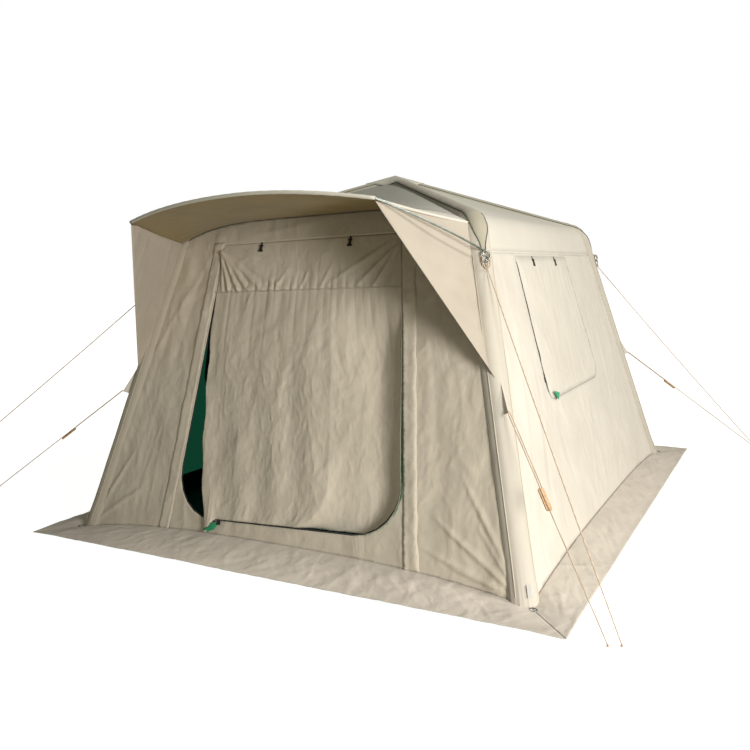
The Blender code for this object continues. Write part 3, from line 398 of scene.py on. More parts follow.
# Fold lines: start and end in the panel's own plane, width and depth
FRONT_FOLDS = (
    ((-1.33, 0.10), (-0.95, 1.35), 0.030, 0.003), ((-1.20, 0.30), (-0.86, 1.55), 0.030, -0.003),
    ((-1.05, 0.05), (-0.84, 0.95), 0.020, 0.003), ((-0.98, 0.60), (-0.74, 1.70), 0.020, -0.003),
    ((-1.10, 1.00), (-0.70, 1.72), 0.020, 0.005), ((-0.93, 0.10), (-0.86, 0.80), 0.014, 0.003),
    ((0.88, 0.30), (0.74, 1.60), 0.024, 0.003), ((1.00, 0.10), (0.80, 1.20), 0.024, -0.002),
    ((1.10, 0.50), (0.82, 1.66), 0.022, 0.003), ((1.18, 0.05), (0.98, 0.95), 0.022, 0.002),
    ((0.92, 1.00), (0.70, 1.74), 0.016, 0.003), ((-0.60, 0.09), (0.10, 0.05), 0.014, 0.004),
    ((0.05, 0.10), (0.66, 0.07), 0.016, 0.004), ((-0.40, 1.80), (0.10, 1.86), 0.016, 0.004),
    ((1.37, 0.03), (0.90, 0.34), 0.013, 0.013), ((1.37, 0.02), (0.84, 0.19), 0.012, 0.012),
    ((1.36, 0.05), (1.02, 0.56), 0.013, 0.012), ((1.35, 0.07), (1.15, 0.82), 0.013, 0.011),
    ((1.37, 0.02), (1.00, 0.12), 0.010, 0.010), ((-1.36, 0.03), (-0.98, 0.28), 0.014, 0.010),
    ((-1.35, 0.05), (-1.08, 0.50), 0.014, 0.010), ((1.36, 0.04), (1.12, 0.33), 0.010, 0.009),
    ((1.35, 0.06), (1.22, 0.55), 0.010, 0.009),
)
SIDE_FOLDS = (
    ((-1.30, 0.12), (-0.80, 1.40), 0.030, 0.006), ((-1.05, 0.10), (-0.72, 0.95), 0.026, -0.006),
    ((-0.20, 0.06), (0.10, 0.70), 0.030, 0.005), ((0.60, 0.10), (0.72, 1.10), 0.028, 0.006),
    ((1.20, 0.20), (0.80, 1.40), 0.030, 0.007), ((0.30, 0.05), (0.95, 0.55), 0.026, -0.005),
)
HEADER_FOLDS = (
    ((-0.64, 1.75), (-0.50, 1.41), 0.013, 0.021), ((-0.64, 1.75), (-0.42, 1.41), 0.013, 0.022),
    ((-0.65, 1.75), (-0.34, 1.42), 0.014, 0.021), ((-0.65, 1.74), (-0.23, 1.43), 0.015, 0.018),
    ((-0.66, 1.74), (-0.08, 1.45), 0.017, 0.014), ((-0.62, 1.72), (-0.57, 1.41), 0.012, 0.014),
    ((-0.50, 1.72), (0.02, 1.53), 0.016, 0.006), ((0.57, 1.70), (0.42, 1.43), 0.012, 0.010),
    ((0.57, 1.70), (0.30, 1.44), 0.013, 0.010), ((0.58, 1.68), (0.54, 1.43), 0.011, 0.009),
    ((0.54, 1.72), (0.12, 1.47), 0.014, 0.008), ((-0.12, 1.60), (-0.22, 1.43), 0.011, 0.006),
    ((0.16, 1.60), (0.10, 1.43), 0.011, 0.007), ((0.02, 1.58), (-0.04, 1.43), 0.010, 0.006),
)

# Unevenness of each cloth: seed, waves per metre across and up, depth
FRONT_CRUMPLES = ((3.1, 7.0, 2.2, 0.008), (9.4, 16.0, 5.0, 0.003))
FRONT_CREASES = ((7.0, 12, 8, 0.0022), (2.0, 27, 20, 0.0012))
SIDE_CRUMPLES = ((5.7, 3.0, 2.0, 0.008), (1.3, 9.0, 5.0, 0.003))
COVER_CRUMPLES = ((8.2, 7.0, 3.0, 0.004),)
DOOR_CRUMPLES = ((11.0, 9, 5, 0.0045),)
DOOR_CREASES = ((3.0, 13, 11, 0.0030), (9.0, 32, 27, 0.0018))

# Waves of noise: how many each way, per metre or per width of the piece, and a seed; where they run
# one way only, the second number is a seed too
FLAP_EDGE_WAVES = (2.0, 11, 1.0)
FLAP_PUCKER_WAVES = (0.8, 42, 3.0)
FLAP_SWELL_WAVES = (0.6, 9, 5.0)
GATHER_DRIFT_WAVES = (8, 6.0, 1.0)
GATHER_DEPTH_WAVES = (17, 3.0, 8.0)
GATHER_LENGTH_WAVES = (11, 1.0, 4.0)
DOOR_EDGE_WAVES = (6, 1.0, 2.0)
WINDOW_EDGE_WAVES = (12, 1.0, 1.0)

# Waves of the skirts: how many along, their slant, how many outwards, and a seed
SKIRT_WAVES = (5, 0, 1.5, 7)
SKIRT_RIPPLES = (16, 5, 3.5, 3)
SKIRT_CREASES = (7, 2, 2.2, 3)
SKIRT_FINE_CREASES = (19, 0, 5, 5)

# Crumple lines: how far and how often they wander, and how narrow they are; how fold lines end
RIDGE_BEND = 0.35
RIDGE_BENDS = 0.6
RIDGE_SEED = 5
RIDGE_SHARPNESS = 2.2
RIDGE_POWER = 3
FOLD_END_POWER = 0.7

# Corners that fold over and show their green lining: the door's in its wall's plane, the window
# cover's from a point on its sill
DOOR_FOLDED = ((-0.455, 0.098), (-0.425, 0.090), (-0.375, 0.112), (-0.352, 0.142), (-0.392, 0.150),
               (-0.440, 0.128))
WINDOW_FOLDED = ((-0.045, 0.045), (0.006, -0.012), (0.050, 0.022), (0.012, 0.034))

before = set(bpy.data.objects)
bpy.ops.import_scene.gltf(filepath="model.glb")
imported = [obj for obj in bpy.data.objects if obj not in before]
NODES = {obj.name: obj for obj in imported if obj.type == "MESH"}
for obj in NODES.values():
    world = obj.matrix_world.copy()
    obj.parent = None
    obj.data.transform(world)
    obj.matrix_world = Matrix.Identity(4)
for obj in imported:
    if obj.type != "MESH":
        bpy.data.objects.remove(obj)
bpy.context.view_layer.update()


# Camera, floor and lights

def make_camera():
    """Camera at the photograph's place, set by its yaw, pitch and roll."""
    level = Vector((-sin(CAMERA_YAW), cos(CAMERA_YAW), 0))
    forward = level * cos(CAMERA_PITCH) - Vector((0, 0, sin(CAMERA_PITCH)))
    right = forward.cross(Vector((0, 0, 1))).normalized()
    up = right.cross(forward)
    turned_right = right * cos(CAMERA_ROLL) + up * sin(CAMERA_ROLL)
    turned_up = up * cos(CAMERA_ROLL) - right * sin(CAMERA_ROLL)
    data = bpy.data.cameras.new("camera")
    data.lens = CAMERA_LENS
    data.sensor_width = CAMERA_SENSOR
    camera = bpy.data.objects.new("camera", data)
    matrix = Matrix((turned_right, turned_up, -forward)).transposed().to_4x4()
    matrix.translation = CAMERA_PLACE
    camera.matrix_world = matrix
    bpy.context.scene.collection.objects.link(camera)
    bpy.context.scene.camera = camera


def set_inputs(node, values):
    for name, value in values.items():
        node.inputs[name].default_value = value


def make_sky():
    """Sky that is brighter on the tent's right; the camera itself sees plain white."""
    world = bpy.data.worlds.new("studio")
    bpy.context.scene.world = world
    world.use_nodes = True
    tree = world.node_tree
    links = tree.links
    sky = tree.nodes["Background"]
    set_inputs(sky, {"Color": SKY_COLOR})
    toward = tree.nodes.new("ShaderNodeTexCoord")
    parts = tree.nodes.new("ShaderNodeSeparateXYZ")
    sides = tree.nodes.new("ShaderNodeMapRange")
    set_inputs(sides, {"From Min": -SKY_EDGE, "From Max": SKY_EDGE,
                       "To Min": SKY_LEFT, "To Max": SKY_RIGHT})
    backdrop = tree.nodes.new("ShaderNodeBackground")
    set_inputs(backdrop, {"Color": WHITE})
    rays = tree.nodes.new("ShaderNodeLightPath")
    blend = tree.nodes.new("ShaderNodeMixShader")
    links.new(toward.outputs["Generated"], parts.inputs[0])
    links.new(parts.outputs["X"], sides.inputs["Value"])
    links.new(sides.outputs["Result"], sky.inputs["Strength"])
    links.new(rays.outputs["Is Camera Ray"], blend.inputs[0])
    links.new(sky.outputs[0], blend.inputs[1])
    links.new(backdrop.outputs[0], blend.inputs[2])
    links.new(blend.outputs[0], tree.nodes["World Output"].inputs[0])


def place_lamp(data, place, toward):
    """Lamp that shines from a place along a direction."""
    lamp = bpy.data.objects.new(data.name, data)
    lamp.location = place
    lamp.rotation_mode = 'QUATERNION'
    lamp.rotation_quaternion = (-toward).to_track_quat('Z', 'Y')
    bpy.context.scene.collection.objects.link(lamp)


def make_lights():
    """Soft sun and a square panel that fills the tent's right side."""
    bpy.context.scene.view_settings.view_transform = 'Standard'
    make_sky()
    sun = bpy.data.lights.new("key", 'SUN')
    sun.energy = SUN_ENERGY
    sun.color = SUN_COLOR
    sun.angle = SUN_ANGLE
    place_lamp(sun, (0, 0, 0), -Vector(SUN_FROM))
    fill = bpy.data.lights.new("side_fill", 'AREA')
    fill.shape = 'SQUARE'
    fill.size = FILL_SIZE
    fill.energy = FILL_ENERGY
    place_lamp(fill, FILL_PLACE, Vector(FILL_TARGET) - Vector(FILL_PLACE))


def make_floor():
    """Flat floor just under the ground pieces."""
    bm = bmesh.new()
    bmesh.ops.create_grid(bm, x_segments=1, y_segments=1, size=FLOOR_SIZE)
    item = mesh_object("floor", bm, [floor_material()])
    item.location.z = -FLOOR_DROP


# Materials

def new_material(name):
    """Material with its node tree and its shader node."""
    material = bpy.data.materials.new(name)
    material.use_nodes = True
    return material, material.node_tree, material.node_tree.nodes["Principled BSDF"]


def floor_material():
    """Pale studio floor that the camera sees white and that throws only a little light back."""
    material, tree, shader = new_material("floor")
    set_inputs(shader, {"Base Color": (0.44, 0.43, 0.38, 1.0), "Roughness": 0.95, "Specular IOR Level": 0.0,
                        "Emission Color": WHITE})
    rays = tree.nodes.new("ShaderNodeLightPath")
    glow = tree.nodes.new("ShaderNodeMath")
    glow.operation = 'MULTIPLY'
    glow.inputs[1].default_value = 0.92
    tree.links.new(rays.outputs["Is Camera Ray"], glow.inputs[0])
    tree.links.new(glow.outputs[0], shader.inputs["Emission Strength"])
    return material


def texture(tree, kind, turn, scale, **values):
    """Texture node that reads object coordinates, turned and stretched along each axis."""
    place = tree.nodes.new("ShaderNodeTexCoord")
    mapping = tree.nodes.new("ShaderNodeMapping")
    set_inputs(mapping, {"Scale": scale, "Rotation": turn})
    node = tree.nodes.new(kind)
    tree.links.new(place.outputs["Object"], mapping.inputs["Vector"])
    tree.links.new(mapping.outputs["Vector"], node.inputs["Vector"])
    set_inputs(node, values)
    return node


def ramp(tree, source, low, high, low_at=0.0, high_at=1.0):
    """Colour that runs from low to high between two values of its source."""
    node = tree.nodes.new("ShaderNodeValToRGB")
    for element, color, at in zip(node.color_ramp.elements, (low, high), (low_at, high_at)):
        element.position = at
        element.color = (*color, 1.0)
    tree.links.new(source, node.inputs["Fac"])
    return node


def bump(tree, height, strength, distance, after=None):
    """Relief that stands out by a distance, on top of an earlier one if given."""
    node = tree.nodes.new("ShaderNodeBump")
    set_inputs(node, {"Strength": strength, "Distance": distance})
    tree.links.new(height, node.inputs["Height"])
    if after:
        tree.links.new(after.outputs["Normal"], node.inputs["Normal"])
    return node


def canvas_material(name, low, high, creases=0.5):
    """Woven canvas: mottled colour, a fine weave, soft crumples and sharper crease lines."""
    material, tree, shader = new_material(name)
    noise_kind = "ShaderNodeTexNoise"
    mottle = texture(tree, noise_kind, NO_TURN, EVEN, Scale=2.6, Detail=6.0, Roughness=0.62)
    color = ramp(tree, mottle.outputs["Fac"], low, high, 0.32, 0.68)
    tree.links.new(color.outputs["Color"], shader.inputs["Base Color"])
    soft = texture(tree, noise_kind, (0.3, 0.2, 0.4), (1, 1, 0.45), Scale=6.0, Detail=4.0,
                   Roughness=0.5, Distortion=0.6)
    sharp = texture(tree, noise_kind, (0.25, 0.5, 0.15), (1.2, 1.2, 0.55), Scale=4.5, Detail=3.5,
                    Roughness=0.45, Distortion=1.1)
    sharp.noise_type = 'RIDGED_MULTIFRACTAL'
    sharp.normalize = True
    weave = texture(tree, noise_kind, NO_TURN, (1, 1, 0.35), Scale=700.0, Detail=2.0)
    relief = bump(tree, soft.outputs["Fac"], creases, CRUMPLE_HEIGHT)
    relief = bump(tree, sharp.outputs["Fac"], creases, CREASE_HEIGHT, relief)
    relief = bump(tree, weave.outputs["Fac"], 0.25, WEAVE_HEIGHT, relief)
    tree.links.new(relief.outputs["Normal"], shader.inputs["Normal"])
    set_inputs(shader, {"Roughness": 0.88, "Sheen Weight": 0.15, "Specular IOR Level": 0.2})
    return material


def roof_material(name, crown, low=(0.55, 0.507, 0.432), high=(0.60, 0.555, 0.475)):
    """Canvas that is warm at the eaves and greyer towards the crown."""
    material = canvas_material(name, low, high, creases=0.3)
    tree = material.node_tree
    base = tree.nodes["Principled BSDF"].inputs["Base Color"]
    eaves = base.links[0].from_socket
    place = tree.nodes.new("ShaderNodeTexCoord")
    parts = tree.nodes.new("ShaderNodeSeparateXYZ")
    rise = tree.nodes.new("ShaderNodeMapRange")
    rise.interpolation_type = 'SMOOTHSTEP'
    set_inputs(rise, {"From Min": GREY_FROM, "From Max": GREY_TO})
    blend = tree.nodes.new("ShaderNodeMix")
    blend.data_type = 'RGBA'
    first, second = [socket for socket in blend.inputs if socket.type == 'RGBA']
    second.default_value = (*crown, 1.0)
    tree.links.new(place.outputs["Object"], parts.inputs[0])
    tree.links.new(parts.outputs["Z"], rise.inputs["Value"])
    tree.links.new(rise.outputs["Result"], blend.inputs[0])
    tree.links.new(eaves, first)
    tree.links.new([socket for socket in blend.outputs if socket.type == 'RGBA'][0], base)
    return material


def lining_material():
    """Green inner face of the canvas, with a faint painted glow that stands in for daylight coming through
    it.
    """
    material = canvas_material("green_lining", (0.010, 0.105, 0.060), (0.020, 0.150, 0.085), creases=0.3)
    # Painted glow: a faint green emission in place of light through the cloth
    set_inputs(material.node_tree.nodes["Principled BSDF"],
               {"Emission Color": (0.10, 1.0, 0.52, 1.0), "Emission Strength": 0.04})
    return material


def grained_material(name, grain, low, high, spread, relief, roughness):
    """Material whose colour and relief follow one texture: its kind, turn, stretch and values."""
    material, tree, shader = new_material(name)
    kind, turn, scale, values = grain
    pattern = texture(tree, kind, turn, scale, **values)
    color = ramp(tree, pattern.outputs["Fac"], low, high, *spread)
    tree.links.new(color.outputs["Color"], shader.inputs["Base Color"])
    fine = bump(tree, pattern.outputs["Fac"], *relief)
    tree.links.new(fine.outputs["Normal"], shader.inputs["Normal"])
    set_inputs(shader, {"Roughness": roughness})
    return material


def metal_material(name, low, high, roughness):
    grain = ("ShaderNodeTexNoise", NO_TURN, EVEN, {"Scale": 60.0, "Detail": 4.0})
    material = grained_material(name, grain, low, high, (0.35, 0.65), (0.1, METAL_HEIGHT), roughness)
    set_inputs(material.node_tree.nodes["Principled BSDF"], {"Metallic": 1.0})
    return material


def plastic_material(name, low, high, roughness):
    grain = ("ShaderNodeTexNoise", NO_TURN, EVEN, {"Scale": 180.0, "Detail": 3.0})
    return grained_material(name, grain, low, high, (0.3, 0.7), (0.12, PLASTIC_HEIGHT), roughness)


def wood_material():
    """Wood with its grain drawn out up and down."""
    grain = ("ShaderNodeTexNoise", NO_TURN, (1, 1, 0.12),
             {"Scale": 220.0, "Detail": 5.0, "Distortion": 1.0})
    return grained_material("runner_wood", grain, (0.36, 0.20, 0.09), (0.66, 0.42, 0.22), (0.35, 0.65),
                            (0.3, WOOD_HEIGHT), 0.6)


def rope_material():
    """Twisted cord: slanting bands of light and dark strands."""
    strands = ("ShaderNodeTexWave", (0.5, 0.5, 0.5), EVEN, {"Scale": 90.0, "Distortion": 1.5})
    return grained_material("rope", strands, (0.35, 0.245, 0.155), (0.62, 0.48, 0.35), (0.0, 1.0),
                            (0.5, ROPE_HEIGHT), 0.85)


def tape_material(name, low, high):
    """Ribbed tape: a close weave across its length."""
    ribs = ("ShaderNodeTexWave", (0.2, 0.1, 0.3), EVEN, {"Scale": 260.0, "Distortion": 0.4})
    return grained_material(name, ribs, low, high, (0.0, 1.0), (0.4, TAPE_HEIGHT), 0.8)


def mesh_material():
    """Fine netting: a checker of threads and holes."""
    material, tree, shader = new_material("mesh")
    holes = texture(tree, "ShaderNodeTexChecker", NO_TURN, EVEN, Scale=500.0)
    color = ramp(tree, holes.outputs["Fac"], (0.015, 0.02, 0.018), (0.06, 0.07, 0.06))
    tree.links.new(color.outputs["Color"], shader.inputs["Base Color"])
    set_inputs(shader, {"Roughness": 0.9})
    return material


MAT = {
    "canvas": canvas_material("canvas", (0.535, 0.490, 0.412), (0.60, 0.552, 0.470), creases=0.9),
    # Darker, warmer copy of the canvas for the front wall, door and storm flaps: painted shade from the
    # awning
    "front": canvas_material("front_painted_shade_canvas", (0.500, 0.440, 0.342), (0.570, 0.505, 0.398), creases=1.0),
    "skirt": canvas_material("skirt_canvas", (0.520, 0.462, 0.385), (0.590, 0.528, 0.445), creases=0.9),
    "roof": roof_material("roof_canvas", (0.48, 0.46, 0.37)),
    "sleeve": roof_material("sleeve_canvas", (0.34, 0.32, 0.255), (0.475, 0.430, 0.355),
                            (0.52, 0.472, 0.392)),
    "bright": canvas_material("folded_lining", (0.020, 0.22, 0.10), (0.035, 0.30, 0.14), creases=0.2),
    # Darker copy of the sleeve canvas for the front left leg alone: painted shade
    "front_sleeve": roof_material("front_left_sleeve_painted_shade", (0.34, 0.32, 0.255), (0.400, 0.352, 0.272),
                                  (0.450, 0.398, 0.310)),
    # Darker copy of the roof canvas for the front roof panel: painted shade
    "shade": roof_material("front_roof_painted_shade_canvas", (0.25, 0.24, 0.185), (0.42, 0.390, 0.335),
                           (0.46, 0.428, 0.370)),
    # Dark olive-brown back face of the roof and awning cloth: painted shade, tinted like daylight seen
    # through the canvas
    "under": canvas_material("awning_underside_painted_shade", (0.22, 0.152, 0.036), (0.28, 0.196, 0.052), creases=0.35),
    # Darker copy of the canvas for the awning's wings: painted shade
    "wing": canvas_material("wing_painted_shade_canvas", (0.385, 0.332, 0.262), (0.440, 0.382, 0.306), creases=0.8),
    "lining": lining_material(),
    "floor": canvas_material("floor_sheet", (0.010, 0.011, 0.012), (0.022, 0.023, 0.024), creases=0.3),
    "mesh": mesh_material(),
    "zip": tape_material("zip_tape", (0.012, 0.014, 0.012), (0.040, 0.045, 0.040)),
    "webbing": tape_material("webbing", (0.34, 0.33, 0.30), (0.52, 0.50, 0.46)),
    "steel": metal_material("steel", (0.22, 0.25, 0.23), (0.42, 0.46, 0.43), 0.34),
    "black": plastic_material("black_plastic", (0.010, 0.010, 0.011), (0.024, 0.024, 0.026), 0.42),
    "air": plastic_material("air_tube", (0.10, 0.105, 0.11), (0.14, 0.145, 0.15), 0.5),
    "rope": rope_material(),
    "wood": wood_material(),
    "stitch": tape_material("seam_stitches", (0.40, 0.355, 0.27), (0.52, 0.465, 0.365)),
    "gunmetal": metal_material("gunmetal", (0.05, 0.055, 0.06), (0.13, 0.135, 0.14), 0.3),
    "band": canvas_material("beam_band", (0.345, 0.310, 0.230), (0.400, 0.362, 0.275), creases=0.5),
    "piping": tape_material("dark_piping", (0.060, 0.072, 0.050), (0.110, 0.125, 0.090)),
}


# Mesh helpers

def mesh_object(name, bm, materials, smooth=True):
    mesh = bpy.data.meshes.new(name)
    bm.to_mesh(mesh)
    bm.free()
    if smooth:
        mesh.shade_smooth()
    item = bpy.data.objects.new(name, mesh)
    for material in materials:
        mesh.materials.append(material)
    bpy.context.scene.collection.objects.link(item)
    return item


def mix(first, second, share):
    """Value a share of the way from the first to the second."""
    return first + (second - first) * share


def smooth_step(value):
    value = min(max(value, 0.0), 1.0)
    return value * value * (3 - 2 * value)


def grid_of(rows, columns, point):
    """Rows of points, each given by its shares of the way down and across."""
    return [[point(row / rows, column / columns) for column in range(columns + 1)]
            for row in range(rows + 1)]


def circle_points(sides, point):
    """Points at even angles once round; the last is the first again."""
    return [point(2 * pi * (step % sides) / sides) for step in range(sides + 1)]


def sides_of(outline):
    """Pairs of points that bound each side of a closed outline."""
    return list(zip(outline, list(outline[1:]) + [outline[0]]))


def frame_from(origin, across, up):
    """Frame with its first axis across and its second one up."""
    x = across.normalized()
    z = x.cross(up).normalized()
    y = z.cross(x)
    matrix = Matrix((x, y, z)).transposed().to_4x4()
    matrix.translation = origin
    return matrix


def thicken(item, back=0, thickness=CLOTH):
    """Cloth thickness on both sides; the back face has the material slot of that number."""
    modifier = item.modifiers.new("cloth", 'SOLIDIFY')
    modifier.thickness = thickness
    modifier.offset = 0.0
    modifier.material_offset = back
    modifier.material_offset_rim = 0
    bpy.context.view_layer.update()
    graph = bpy.context.evaluated_depsgraph_get()
    mesh = bpy.data.meshes.new_from_object(item.evaluated_get(graph))
    item.modifiers.clear()
    item.data = mesh
    mesh.shade_smooth()
    return item


def loft(name, rows, materials, thickness=CLOTH, back=0):
    """Cloth sheet through rows of points; its front faces the way the rows turn."""
    bm = bmesh.new()
    grid = [[bm.verts.new(point) for point in row] for row in rows]
    for upper, lower in zip(grid, grid[1:]):
        for column in range(len(upper) - 1):
            bm.faces.new((upper[column], lower[column], lower[column + 1], upper[column + 1]))
    bmesh.ops.remove_doubles(bm, verts=bm.verts, dist=WELD)
    return thicken(mesh_object(name, bm, materials), back=back, thickness=thickness)


def held_by(outline, points):
    """For each point, whether it lies inside the outline."""
    x, y = np.array([tuple(point) for point in points]).T
    inside = np.zeros(len(points), dtype=bool)
    for start, end in sides_of(outline):
        if start.y == end.y:
            continue
        crossed = (start.y > y) != (end.y > y)
        inside ^= crossed & (x < mix(start.x, end.x, (y - start.y) / (end.y - start.y)))
    return inside


def edge_distances(outlines, points):
    """Distance from each point to the nearest side of any outline."""
    pairs = [pair for outline in outlines for pair in sides_of(outline)]
    starts = np.array([start for start, _ in pairs])[None]
    sides = np.array([end - start for start, end in pairs])[None]
    off = np.array([tuple(point) for point in points])[:, None] - starts
    along = np.clip((off * sides).sum(axis=2) / (sides ** 2).sum(axis=2), 0.0, 1.0)
    return np.linalg.norm(off - sides * along[:, :, None], axis=2).min(axis=1)


def resample(outline, step):
    """Outline with more points on its long sides."""
    result = []
    for start, end in sides_of(outline):
        count = max(1, int((end - start).length / step))
        result += [mix(start, end, index / count) for index in range(count)]
    return result


def closed_edges(outlines):
    """Index pairs along each outline, counted through all of their points."""
    edges = []
    first = 0
    for outline in outlines:
        count = len(outline)
        edges += [(first + index, first + (index + 1) % count) for index in range(count)]
        first += count
    return edges


def inner_points(cuts, points, step):
    """Staggered grid of points inside the first outline, clear of it and of the holes."""
    low = Vector((min(p.x for p in points), min(p.y for p in points)))
    high = Vector((max(p.x for p in points), max(p.y for p in points)))
    inner = []
    for row in range(1, int((high.y - low.y) / step)):
        for column in range(1, int((high.x - low.x) / step)):
            inner.append(low + Vector(((column + (row % 2) / 2) * step, row * step)))
    kept = (edge_distances(cuts, inner) > step / 2) & held_by(cuts[0], inner)
    for hole in cuts[1:]:
        kept &= ~held_by(hole, inner)
    return [point for point, keep in zip(inner, kept) if keep]


def panel(name, place, cuts, depth, materials, back=0, step=GRID):
    """Cloth cut to an outline with holes, its depth set point by point, laid in a frame."""
    outlines = [resample(cut, step) for cut in cuts]
    points = [point for outline in outlines for point in outline]
    points += inner_points(cuts, points, step)
    places, _, faces, _, _, _ = delaunay_2d_cdt(points, closed_edges(outlines), [], INSIDE_TRIANGLES, WELD)
    bm = bmesh.new()
    gaps = edge_distances(cuts, places)
    corners = [bm.verts.new(place @ Vector((p.x, p.y, depth(p, gap)))) for p, gap in zip(places, gaps)]
    middles = [sum((places[index] for index in face), Vector((0, 0))) / len(face) for face in faces]
    cut_away = np.zeros(len(faces), dtype=bool)
    for hole in cuts[1:]:
        cut_away |= held_by(hole, middles)
    for face, gone in zip(faces, cut_away):
        if not gone:
            bm.faces.new([corners[index] for index in face])
    return thicken(mesh_object(name, bm, materials), back=back)


def tube_object(name, points, radius, material):
    """Round tube along a route of points."""
    curve = bpy.data.curves.new(name, 'CURVE')
    curve.dimensions = '3D'
    curve.bevel_depth = radius
    curve.bevel_resolution = 2
    curve.use_fill_caps = True
    spline = curve.splines.new('POLY')
    spline.points.add(len(points) - 1)
    for target, point in zip(spline.points, points):
        target.co = (*point, 1.0)
    curve.materials.append(material)
    item = bpy.data.objects.new(name, curve)
    bpy.context.scene.collection.objects.link(item)
    return item


def on_body(item, body, slot, *nodes):
    """Put a finished piece on its body and hide the CAD nodes that it stands for. Its slot is not used."""
    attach(item, body)
    if nodes:
        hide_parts(*nodes)
    return item


# Geometry shared with the CAD

def lean_of(side):
    """Angle by which a wall leans in."""
    return END_LEAN if side in ENDS else SIDE_LEAN


def half_length(side):
    """Half the length of a wall's foot."""
    return (BASE_WIDTH if side in ENDS else BASE_DEPTH) / 2


def half_reach(side):
    """Distance on the ground from the tent's middle to a wall's foot."""
    return (BASE_DEPTH if side in ENDS else BASE_WIDTH) / 2


def wall_frame(side):
    """Frame of a wall's plane, from the middle of its foot: along, up it and outwards."""
    along = {"front": Vector((1, 0, 0)), "back": Vector((-1, 0, 0)),
             "right": Vector((0, 1, 0)), "left": Vector((0, -1, 0))}[side]
    inward = Vector((0, 0, 1)).cross(along)
    up = Vector((0, 0, cos(lean_of(side)))) + inward * sin(lean_of(side))
    return frame_from(inward * -half_reach(side), along, up)


def up_wall(side, height):
    """Distance up a leaning wall to a height."""
    return height / cos(lean_of(side))


def wall_half(side, height):
    """Half the distance between the beams beside a wall, at a height."""
    inset = SIDE_INSET if side in ENDS else END_INSET
    return half_length(side) - BEAM_INSET - inset * height / EAVE_HEIGHT


def leg_point(corner, height):
    """Point on a leg's middle line."""
    x_sign, y_sign = CORNERS[corner]
    return Vector((x_sign * wall_half("front", height), y_sign * wall_half("right", height), height))


def roof_height(reach):
    """Height of a roof beam's middle line at a distance from the tent's middle."""
    return APEX_HEIGHT - SLEEVE_RADIUS / cos(ROOF_PITCH) - reach * tan(ROOF_PITCH)


def knee_point(corner):
    """Where a leg's middle line meets its roof beam's, found in a few rounds."""
    leg = leg_point(corner, EAVE_HEIGHT)
    for _ in CORNERS:
        leg = leg_point(corner, roof_height(hypot(leg.x, leg.y)))
    return leg


def beam_path(corner, foot, hub_end):
    """Points and directions along a beam: up its leg, round the shoulder and up the roof."""
    knee = knee_point(corner)
    base = leg_point(corner, foot)
    up = (knee - base).normalized()
    inward = (Vector((0, 0, roof_height(0))) - knee).normalized()
    turn = up.angle(inward)
    start = knee - up * SHOULDER_RADIUS * tan(turn / 2)
    centre = knee + (inward - up).normalized() * SHOULDER_RADIUS / cos(turn / 2)
    axis = up.cross(inward).normalized()
    stations = [(base, up)]
    for step in range(SHOULDER_STEPS + 1):
        spin = Matrix.Rotation(turn * step / SHOULDER_STEPS, 3, axis)
        stations.append((centre + spin @ (start - centre), spin @ up))
    run = (hypot(knee.x, knee.y) - hub_end) / hypot(inward.x, inward.y)
    stations.append((knee + inward * run, inward))
    return stations


def leg_axes(corner):
    """Directions up a leg, outwards from it and across it."""
    up = (knee_point(corner) - leg_point(corner, 0)).normalized()
    x_sign, y_sign = CORNERS[corner]
    side = Vector((x_sign, y_sign, 0)).cross(up).normalized()
    return up, up.cross(side).normalized(), side


def arch_point(share, back=0.0, lift=0.0):
    """Point of the front arch, at a share of its half width."""
    half = wall_half("front", ARCH_SPRING)
    height = ARCH_CROWN - (ARCH_CROWN - ARCH_SPRING) * abs(share) ** ARCH_POWER
    return Vector((share * half, back - BASE_DEPTH / 2 + height * tan(END_LEAN), height + lift))


def front_corner(hand):
    return "front_right" if hand > 0 else "front_left"


def hook_point(hand):
    """Place of a pole end on its front leg."""
    corner = front_corner(hand)
    _, outward, _ = leg_axes(corner)
    return leg_point(corner, HOOK_HEIGHT) + outward * (SLEEVE_RADIUS + FABRIC + SEAT + POLE_BALL)


def pole_point(x, reach):
    """Point in the pole's sloping plane."""
    hook = hook_point(1)
    return Vector((x, hook.y - reach * cos(POLE_SLOPE), hook.z + reach * sin(POLE_SLOPE)))


def bow_point(share):
    """Point of the bowed pole, at a share of its half width."""
    x = share * TIP_X
    span = TIP_X - CREST_X if x > CREST_X else TIP_X + CREST_X
    return pole_point(x, mix(CREST_REACH, TIP_REACH, ((x - CREST_X) / span) ** 2))


def round_corner(before, corner, after, radius):
    """Points of the arc that rounds an outline's corner."""
    corner = Vector(corner)
    first = (Vector(before) - corner).normalized()
    second = (Vector(after) - corner).normalized()
    half_angle = first.angle(second) / 2
    centre = corner + (first + second).normalized() * radius / sin(half_angle)
    start = corner + first * radius / tan(half_angle) - centre
    sweep = pi - 2 * half_angle
    if first.x * second.y - first.y * second.x > 0:
        sweep = -sweep
    points = []
    for step in range(CORNER_STEPS + 1):
        angle = sweep * step / CORNER_STEPS
        points.append(centre + Vector((start.x * cos(angle) - start.y * sin(angle),
                                       start.x * sin(angle) + start.y * cos(angle))))
    return points


def grow(outline, distance):
    """Outline moved outwards by a distance, with mitred corners."""
    grown = []
    count = len(outline)
    for index in range(count):
        point = Vector(outline[index])
        before = (point - Vector(outline[index - 1])).normalized()
        after = (Vector(outline[(index + 1) % count]) - point).normalized()
        normal = Vector((before.y + after.y, -before.x - after.x))
        normal.normalize()
        stretch = max(normal.dot(Vector((before.y, -before.x))), SHARPEST_SHARE)
        grown.append(point + normal * distance / stretch)
    return grown


